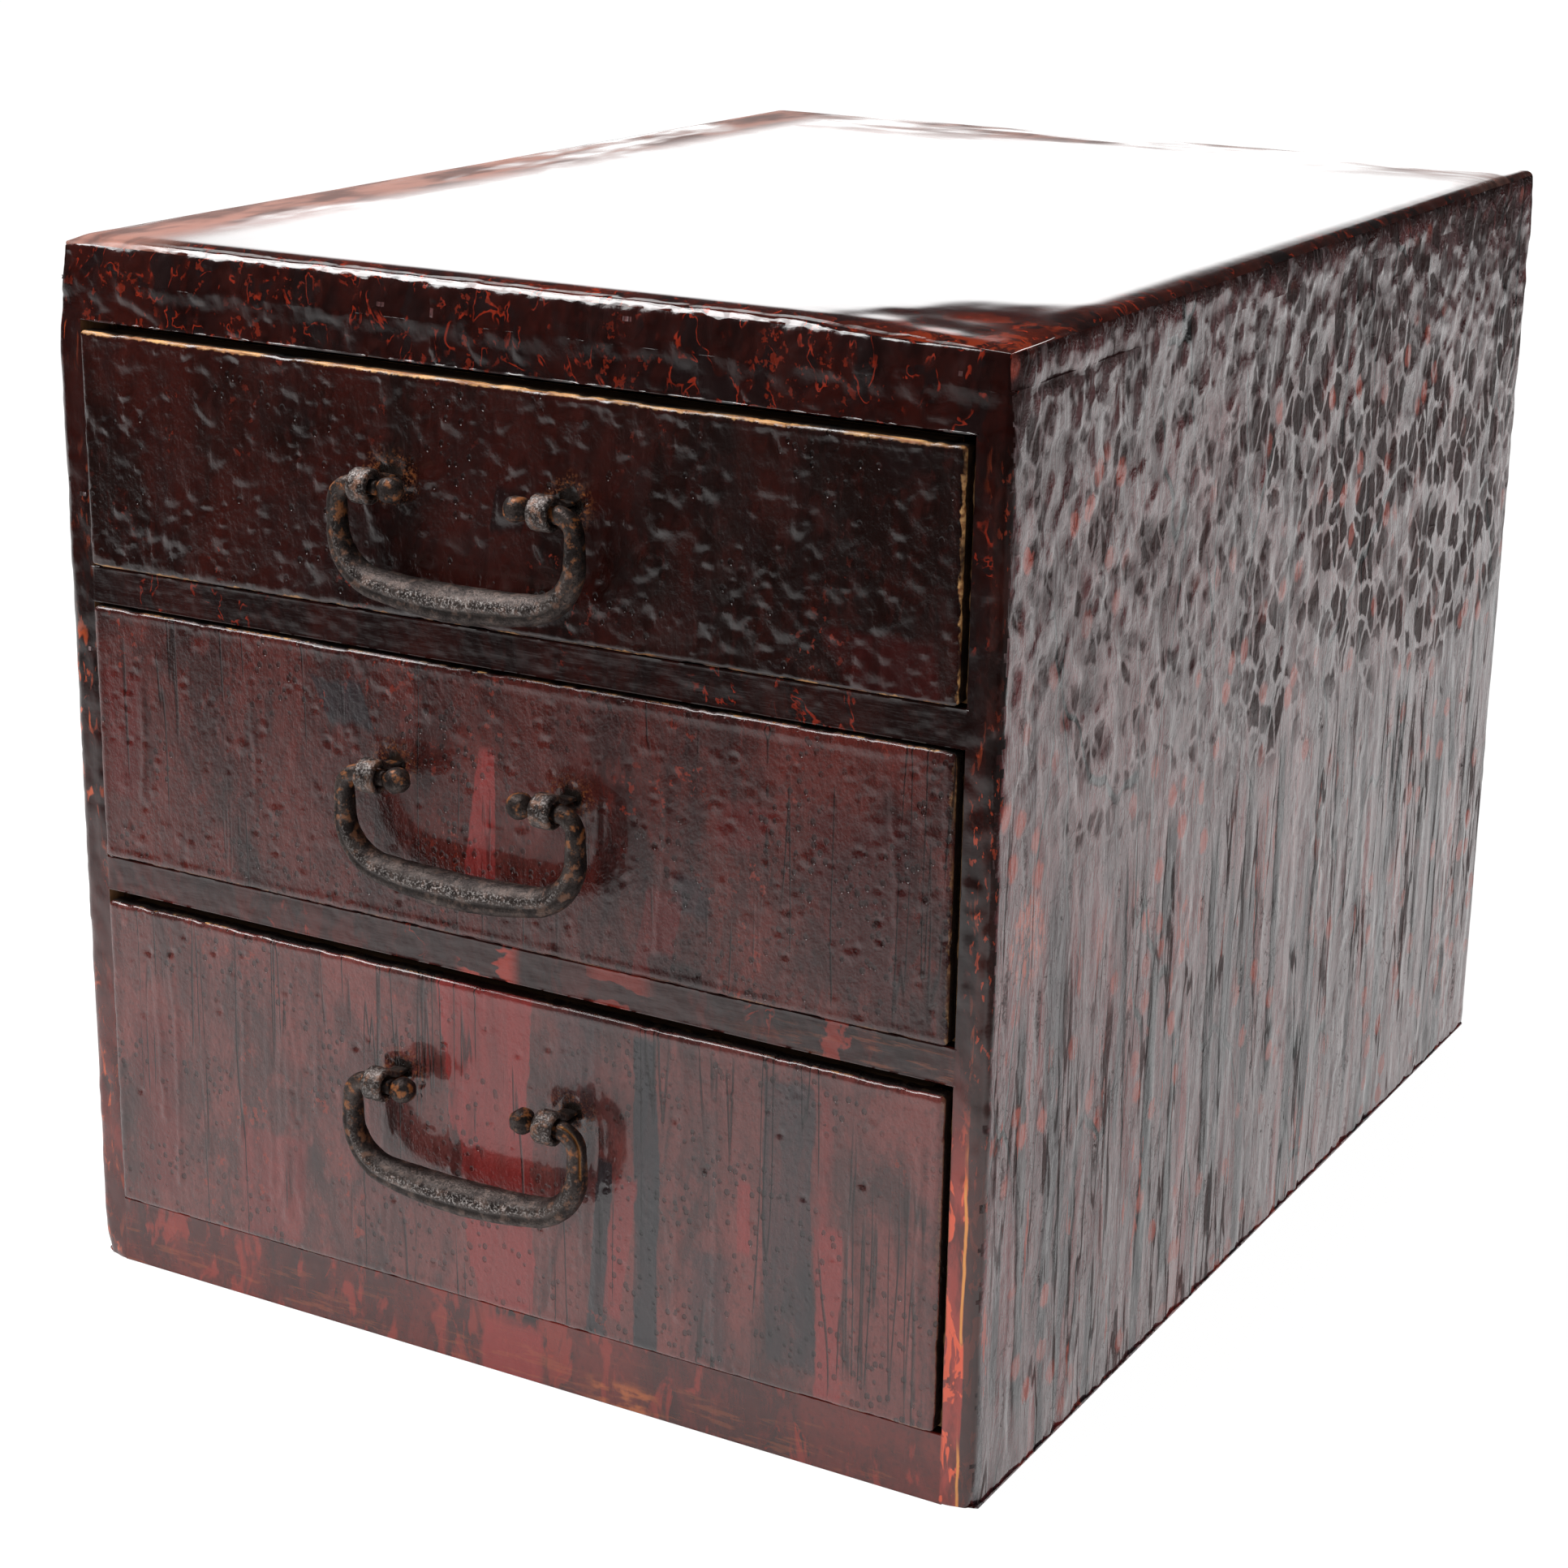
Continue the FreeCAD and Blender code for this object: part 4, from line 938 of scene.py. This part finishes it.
def drawerLacquer(name, low, high, lean):
    look = drawerLooks[name]
    shift = look["seed"] * 3.1
    material, place = newMaterial(name + "_front_lacquer")
    x, y, z = place.parts()
    colour = ground(place, *look["ground"], shift)
    wander = place.noise(13, 0.35, 4, 0.62, shift + 5) - 0.5
    ragged = place.noise(2.2, 0.5, 3, 0.6, shift + 6) - 0.5
    streaky = 1 - place.noise(5, 0.1, 3, 0.5, shift + 7).rise(0.45, 0.75) * 0.45
    for startX, startZ, startHalf, endX, endZ, endHalf, shade, strength in look["bands"]:
        part = (z - endZ) * (1 / (startZ - endZ))
        middle = endX + part * (startX - endX)
        half = endHalf + part * (startHalf - endHalf)
        soft = 0.35 if strength > 0.65 else 2.5
        away = abs(x - middle + wander * (3 + startHalf * 0.5) + ragged * 1.2) - half
        mask = (1 - away.rise(-soft, soft)) * (z + wander * 9).within(endZ, startZ, 1.5)
        colour = (mask * streaky * strength).blend(colour, shade)
    rusty = None
    for at in eyes["x"]:
        away = ((x - at - 1) ** 2 + ((z - eyes[name] - 1.0) * 1.15) ** 2) ** 0.5 + (ragged + wander) * 6
        rusty = away if rusty is None else rusty.least(away)
    dust = place.noise(0.9, 1, 3, 0.7, shift + 8)
    stain = (1 - rusty.rise(4.0, 10.5)) * dust.rise(0.46, 0.62)
    topEdge = high[2] + lean[1] * x * (1 / halfOpening)
    lowEdge = low[2] + lean[0] * x * (1 / halfOpening)
    fromTop, fromLow, fromRight = topEdge - z, z - lowEdge, high[0] - x
    overTop, overRight, under = look["bare"]
    patchy = place.noise(20, 1, 3, 0.6, shift + 10).rise(0.36, 0.56)
    rubbed = (1 - (fromTop + ragged * 1.6).rise(overTop * 0.5, overTop)) * patchy
    right = (1 - (fromRight + ragged * 3.6 + wander * 3).rise(0.5, 1.0)) * overRight * patchy
    under = (1 - (fromLow + ragged * 2 + wander * 3).rise(0.3, 0.8)) * under * patchy
    bare = rubbed.most(right).most(under)
    grain = place.noise(1.2, (0.1, 1, 1), 3, 0.6, shift + 9)
    # The front's top face, seen through the gap above it, is darkened with painted shade.
    gapShade = (y + 206.9).rise(0, 0.5)
    roughness = gloss(place, 0.18, 0.30, shift) + bare.most(stain).most(gapShade) * 0.4
    clusters = place.patches(24, 1, shift + 12, 0.45, 0.6)
    pores = place.spots(2.4, 0.8, look["tiny"], 0.40, shift + 2) * clusters
    pulled = place.noise(2.0, 0.1, 2, 0.5, shift)
    cracked = 1 - abs(place.noise(17, 0.035, 3, 0.6, shift + 14) - 0.5).rise(0.0, 0.010)
    cracked = cracked * place.patches(30, 0.5, shift + 15, 0.46, 0.54) * (0.0 if name == "top" else 1.0)
    colour = colour.painted(
        (flecks(place, 0.15, shift) * 0.5, tone(132, 44, 26)),
        (stain * 0.7, dust.rise(0.5, 0.7).blend(tone(92, 46, 20), tone(150, 84, 34))),
        (1 - rusty.rise(3.0, 4.6), tone(16, 9, 6)),
        (bare, grain.rise(0.35, 0.65).blend(tone(206, 156, 100), tone(132, 80, 40))),
        (gapShade * 0.95, tone(10, 7, 6)),
        (pores * 0.6, tone(18, 8, 7)),
        (cracked * 0.8, tone(20, 9, 8)))
    height = wrinkles(place, shift, *look["bump"]) - pores * 0.45 + pulled * 0.16 - cracked * 0.45
    coat = look["coat"] * (1 - 0.9 * bare.most(gapShade))
    finish(colour, roughness, height, coat=coat, blur=look["blur"], shine=0.3)
    return material


def makeDrawers():
    for name in drawerLooks:
        node = name + "_drawer_front"
        low, high = span(node)
        floorHigh = span(name + "_drawer_bottom")[1]
        wallLow, wallHigh = span(name + "_drawer_wall_left")
        lean = {"top": (1.2, 0), "middle": (0, 1.2), "bottom": (0, 0)}[name]
        low[2] += lean[0]
        high[2] -= lean[1]
        back = high[1]
        high[1] = wallLow[1]
        core = (wallHigh[0], wallLow[1] - 0.5, floorHigh[2]), (-wallHigh[0] - 1.0, back, high[2] - 0.6)
        relief = drawerRelief(name, low, high)
        piece = coatedBoard(node + "_lacquered", low, high, "-y", (1.5,) * 4, grid["drawer"],
                            relief, 8, lean, [core])
        material = drawerLacquer(name, low, high, lean)
        fit(piece, name + "_drawer", [node], "front_lacquer", material, woods["front"])


makeDrawers()
print("drawers made")


# Ironwork.
def mark(piece, name, values):
    values = np.ascontiguousarray(values, dtype=np.float32).ravel()
    piece.data.attributes.new(name, "FLOAT", "POINT").data.foreach_set("value", values)


# A bar along a line: centres, two cross directions, and the outline at each centre.
def makeBar(name, centres, first, second, outline):
    points = centres[:, None] + outline[..., 0, None] * first[:, None]
    points = points + outline[..., 1, None] * second[:, None]
    rows, sides = outline.shape[:2]
    number = np.arange(rows * sides).reshape(rows, sides)
    after = np.roll(number, -1, axis=1)
    quads = np.stack([number[:-1], after[:-1], after[1:], number[1:]], -1).reshape(-1, 4)
    faces = quads.tolist() + [number[0, ::-1].tolist(), number[-1].tolist()]
    return makePiece(name, points.reshape(-1, 3), faces, sharp=70)


bail = {"drop": 29.5, "cornerShare": 0.52, "bow": 0.09, "shoulder": 5.5, "pinStart": 34.1, "height": 11.0,
        "depth": 10.6, "end": 6.0, "pin": 5.0, "knob": 8.4, "knobAt": 21.1, "middle": -5.5}


def bailLine():
    bend = bail["drop"] * bail["cornerShare"]
    bow = math.radians(90 * bail["bow"])
    wide = (bail["pinStart"] + bail["shoulder"] - bend * (1 - math.sin(bow))) / math.sin(bow)
    limb = bail["drop"] - bail["shoulder"] - wide * (1 - math.cos(bow)) - bend * math.cos(bow)
    parts = ((wide * bow, wide), (bend * (math.pi / 2 - bow), bend), (limb, None),
             (bail["shoulder"] * math.pi / 2, bail["shoulder"]))
    x, z, angle = 0.0, -bail["drop"], 0.0
    spots = [(x, z, angle)]
    for length, radius in parts:
        steps = max(2, round(length / 0.8))
        for step in range(steps):
            if radius:
                turned = angle + length / steps / radius
                x += radius * (math.sin(turned) - math.sin(angle))
                z += radius * (math.cos(angle) - math.cos(turned))
                angle = turned
            else:
                z += length / steps
            spots.append((x, z, angle))
    return np.array(spots)


def makeBail(name):
    half = bailLine()
    away = np.concatenate([[0], np.cumsum(np.hypot(*np.diff(half[:, :2], axis=0).T))])
    share = away / away[-1]
    fade = np.cos(math.pi / 2 * np.minimum(1, share / (10 / 11))) ** 1.5
    tall = (bail["end"] + (bail["height"] - bail["end"]) * fade) / 2
    deep = (bail["end"] + (bail["depth"] - bail["end"]) * fade) / 2
    reach = bail["pinStart"] - bail["knobAt"]
    overKnob = reach + 4.2 * np.sin(np.linspace(-1.3, 1.54, 16))
    along = np.concatenate([np.linspace(0.3, reach - 4.3, 9), overKnob])
    knob = np.sqrt(np.maximum((bail["knob"] / 2) ** 2 - (along - reach) ** 2, 0.02))
    pin = np.where(along < reach - 3.9, bail["pin"] / 2, np.maximum(knob, 0.3))
    pinLine = np.stack([half[-1, 0] - along, np.zeros(len(along)), np.full(len(along), math.pi)], 1)
    line = np.concatenate([half, pinLine])
    tall, deep = np.concatenate([tall, pin]), np.concatenate([deep, pin])
    fade = np.concatenate([fade, pin * 0])
    knobby = np.concatenate([half[:, 0] * 0, (along > reach - 4.1) * 1.0])
    mirror = np.concatenate([-np.ones(len(line) - 1), np.ones(len(line))])
    order = np.concatenate([np.arange(len(line) - 1, 0, -1), np.arange(len(line))])
    line, tall, deep, fade, knobby = (values[order] for values in (line, tall, deep, fade, knobby))
    turns = np.linspace(0, 2 * math.pi, 41)[:-1]
    up, front = np.sin(turns), np.cos(turns)
    square = (abs(up) ** 2.5 + abs(front) ** 2.5) ** (-1 / 2.5)
    degrees = np.degrees((turns + math.pi) % (2 * math.pi) - math.pi)
    step = np.arange(len(line))
    seed = {"top": 701, "middle": 731, "bottom": 761}[name]
    u, v = np.meshgrid(step * 0.8, np.arange(40) * 0.75, indexing="ij")
    wavy = np.take(degrees, np.arange(40))[None] + 5 * waves(step[:, None] / 14, step[:, None] * 0, seed, 2)
    keep = (0.25 + 0.75 * fade[:, None]) * (1 - knobby[:, None]) * (abs(line[:, 2]) < 3.0)[:, None]
    groove = 0.62 * np.exp(-((wavy + 16) / 9) ** 2) * keep
    crest = 0.20 * np.exp(-((wavy - 8) / 13) ** 2) * keep
    flat = 0.35 * np.exp(-((wavy - 55) / 24) ** 2) * keep
    hammered = 0.10 * waves(u / 2.2, v / 2.2, seed + 3, 2) + 0.12 * waves(u / 7, v / 6, seed + 5, 2)
    lumps = 0.42 * waves(u / 2.6, v / 5.5, seed + 7, 1) * knobby[:, None]
    sink = groove - crest + flat + 0.34 + hammered * (1 - 0.3 * knobby[:, None]) + abs(lumps)
    seamed = (mirror > 0) & (line[:, 2] > 1.57) & (line[:, 2] < 3.0) & (name == "bottom")
    if name == "bottom":
        sink = sink + 0.7 * np.exp(-((degrees[None] + 52) / 7) ** 2) * seamed[:, None]
    outlineUp = up[None] * square[None] * np.maximum(tall[:, None] - sink, 0.15)
    outlineFront = front[None] * square[None] * np.maximum(deep[:, None] - sink, 0.15)
    x, y = bail["middle"] + mirror * line[:, 0], np.full(len(line), eyes["y"])
    centres = np.stack([x, y, eyes[name] + line[:, 1]], 1)
    first = np.stack([-mirror * np.sin(line[:, 2]), 0 * mirror, np.cos(line[:, 2])], 1)
    second = np.tile((0.0, -1.0, 0.0), (len(line), 1))
    piece = makeBar(name + "_bail_forged", centres, first, second, np.stack([outlineUp, outlineFront], -1))
    mark(piece, "crest", np.exp(-((wavy - 12) / 20) ** 2) * keep)
    mark(piece, "groove", np.exp(-((wavy + 16) / 8) ** 2) * keep)
    mark(piece, "ends", np.broadcast_to((1 - fade[:, None]) ** 3, u.shape))
    mark(piece, "seam", np.exp(-((degrees[None] + 52) / 5) ** 2) * seamed[:, None])
    return piece


def strapLine():
    turns = [math.radians(turn) for turn in range(42, 319, 23)]
    ring = [(4.0 * math.cos(turn), 4.0 * math.sin(turn)) for turn in turns]
    upper = [(23.7, 14.1), (23.7, 9.0), (23.7, 4.2), (23.4, 1.9),
             (21.6, 0.85), (16.0, 0.8), (10.0, 0.85), (6.4, 1.2)]
    lower = [(y, -z) for y, z in reversed(upper)]
    guide = np.array(upper + ring + lower)
    spots = []
    for k in range(1, len(guide) - 2):
        before, start, end, after = guide[k - 1:k + 3]
        square, cube = 2 * before - 5 * start + 4 * end - after, 3 * start - before - 3 * end + after
        for part in np.arange(5) / 5:
            spots.append(0.5 * (2 * start + (end - before) * part + square * part ** 2 + cube * part ** 3))
    return np.array([guide[0]] + spots + [guide[-2], guide[-1]])


def makeEye(name, side):
    line = strapLine()
    along = np.gradient(line, axis=0)
    along /= np.hypot(*along.T)[:, None]
    away = np.hypot(*line.T)
    loop = ease(8.5, 4.5, away)
    thick = 0.72 + (1.08 - 0.72) * loop
    turns = np.linspace(0, 2 * math.pi, 25)[:-1]
    wide, high = np.cos(turns), np.sin(turns)
    square = (abs(wide) ** 4 + abs(high) ** 4) ** -0.25
    seed = 811 + 10 * side + {"top": 0, "middle": 3, "bottom": 6}[name]
    u, v = np.meshgrid(np.arange(len(line)) * 0.9, np.arange(24) * 0.7, indexing="ij")
    dented = 0.10 * waves(u / 2.4, v / 2.4, seed, 2) + 0.10
    narrow = (eyes["width"] / 2 - 0.1) * (1 - 0.18 * (1 - loop)[:, None]) - abs(dented)
    dome = 0.25 * loop[:, None] * (high > 0)[None] * (1 - wide[None] ** 2)
    through = high[None] * square[None] * (thick[:, None] - dented * 0.6)
    outline = np.stack([wide[None] * square[None] * narrow, np.minimum(through + dome, 1.1)], -1)
    x, y = np.full(len(line), eyes["x"][side]), eyes["y"] + line[:, 0]
    centres = np.stack([x, y, eyes[name] + line[:, 1]], 1)
    first = np.tile((1.0, 0.0, 0.0), (len(line), 1))
    second = np.stack([0 * away, -along[:, 1], along[:, 0]], 1)
    outward = np.sign(np.sum(second[:, 1:] * line, axis=1))[len(line) // 2]
    title = "{}_eye_{}_strap".format(name, ("left", "right")[side])
    piece = makeBar(title, centres, first, second * outward, outline)
    mark(piece, "crest", np.broadcast_to(loop[:, None] * 0.5, u.shape))
    mark(piece, "ends", np.broadcast_to(0.35 + 0.65 * (1 - loop[:, None]), u.shape))
    return piece


def ironMaterial():
    material, place = newMaterial("iron")
    crest, groove, ends, seam = (place.node("ShaderNodeAttribute", {"attribute_name": key}, None, 2)
                                 for key in ("crest", "groove", "ends", "seam"))
    speckle = place.noise(0.7, 1, 3, 0.75, 3)
    cloud = place.noise(6, 1, 4, 0.6, 7)
    rusting = place.noise(3.0, 1, 4, 0.65, 11).rise(0.50, 0.64)
    # The crest is worn bright, and its pale speckle is a painted highlight as well.
    colour = cloud.rise(0.35, 0.65).blend(tone(48, 40, 38), tone(82, 72, 68)).painted(
        (speckle.rise(0.46, 0.62) * 0.6, tone(20, 16, 15)),
        (crest * speckle.rise(0.50, 0.6) * 0.85, tone(190, 182, 178)),
        (groove * 0.8, tone(24, 18, 15)),
        (rusting * (0.12 + ends * 0.85), tone(134, 78, 36)),
        (seam * 0.9, tone(190, 130, 70)))
    metal = 0.75 - rusting * 0.6
    roughness = 0.42 + speckle.rise(0.4, 0.7) * 0.2 - crest * 0.12
    finish(colour, roughness, speckle * 0.22 + cloud * 0.3, metal)
    return material


iron = ironMaterial()
for name in drawerLooks:
    fit(makeBail(name), name + "_bail", [name + "_bail"], "iron", iron)
    for side, hand in enumerate(("left", "right")):
        fit(makeEye(name, side), name + "_drawer", ["{}_eye_{}".format(name, hand)], "iron", iron)
print("ironwork made")


# The bare boards and pegs keep their solids, and get their wood here.
for node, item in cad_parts.items():
    kinds = (("drawer_wall", "drawer"), ("drawer_bottom", "drawer"), ("drawer_back", "cross"),
             ("drawer_pegs", "peg"), ("runner", "case"), ("bottom_board", "case"))
    for word, kind in kinds:
        if word in node:
            for slot in item.material_slots:
                slot.material = woods[kind]
print("woods given")


# Studio: a pale table, a soft lamp above on the left, and a pale wall behind.
studio = {"lamp": (-540, -300, 1050), "lampSize": (0.75, 0.55), "lampPower": 15.0, "fill": (-800, -1400, 650),
          "fillSize": (0.9, 0.7), "fillPower": 10.0, "room": 0.42, "wall": 1.7, "ceiling": 0.03}


def makeFloor():
    turns = np.linspace(0, 2 * math.pi, 97)[:-1]
    mesh = bpy.data.meshes.new("floor")
    mesh.from_pydata([(6 * math.cos(turn), 6 * math.sin(turn), 0) for turn in turns], [], [list(range(96))])
    floor = bpy.data.objects.new("floor", mesh)
    bpy.context.scene.collection.objects.link(floor)
    material, place = newMaterial("floor")
    x, y, z = place.parts()
    path = place.node("ShaderNodeLightPath")
    ahead = y * -1
    reach = (x ** 2.0 + y ** 2.0) ** 0.5
    strip = 0.22 * ahead.rise(205, 240) * (1 - ahead.rise(420, 520))
    table = 0.04 + 0.80 * (1 - ahead.rise(500, 900)) + strip
    table = table * (1 - (x - 0.45 * y.most(0.0)).rise(350, 530) * 0.9) * (1 - reach.rise(1600, 2600))
    table = table * (1 + x.rise(150, 175) * (x.rise(290, 480) * 0.20 + y.rise(150, 400) * 0.12 - 0.02))
    plain = place.node("ShaderNodeBsdfDiffuse", None, {"Color": (0.85, 0.85, 0.85, 1)})
    white = place.node("ShaderNodeEmission", None, {"Color": (1, 1, 1, 1), "Strength": 1.2})
    shine = place.node("ShaderNodeEmission", None, {"Color": (1, 1, 1, 1), "Strength": table})
    seen = place.node("ShaderNodeMixShader", None, {0: path.other("Is Camera Ray") * 0.8, 1: plain, 2: white})
    seen = place.node("ShaderNodeMixShader", None, {0: path.other("Is Glossy Ray"), 1: seen, 2: shine})
    place.node("ShaderNodeOutputMaterial", None, {"Surface": seen})
    mesh.materials.append(material)


def makeRoom():
    world = bpy.data.worlds.new("studio")
    bpy.context.scene.world = world
    world.use_nodes = True
    world.node_tree.nodes.clear()
    ray = Wire(world.node_tree.nodes.new("ShaderNodeTexCoord").outputs["Generated"])
    path = ray.node("ShaderNodeLightPath")
    x, y, z = ray.parts()
    wall = y.rise(0.0, 0.4) * (1 - z.rise(0.19, 0.28))
    wall = wall * (1 - (x * -1).rise(0.58, 0.76)) * (1 - x.rise(-0.2, 0.0))
    seen = wall * (studio["wall"] - studio["ceiling"]) + studio["ceiling"]
    shiny = path.other("Is Glossy Ray")
    room = shiny * seen + (1 - shiny) * studio["room"]
    direct = path.other("Is Camera Ray")
    strength = direct + (1 - direct) * room
    light = ray.node("ShaderNodeBackground", None, {"Color": (1, 1, 1, 1), "Strength": strength})
    ray.node("ShaderNodeOutputWorld", None, {"Surface": light})


def makeLamp(name, at, size, power, shines):
    data = bpy.data.lights.new(name, "AREA")
    data.shape = "RECTANGLE"
    data.size, data.size_y = size
    data.energy = power
    lamp = bpy.data.objects.new(name, data)
    bpy.context.scene.collection.objects.link(lamp)
    lamp.location = Vector(at) * mm
    lamp.rotation_euler = (Vector((0, 0, 0.16)) - lamp.location).to_track_quat("-Z", "Y").to_euler()
    lamp.visible_camera = False
    lamp.visible_glossy = shines


makeFloor()
makeRoom()
makeLamp("lamp", studio["lamp"], studio["lampSize"], studio["lampPower"], True)
makeLamp("fill", studio["fill"], studio["fillSize"], studio["fillPower"], False)
print("stage made")
bpy.context.scene.view_settings.view_transform = "Standard"
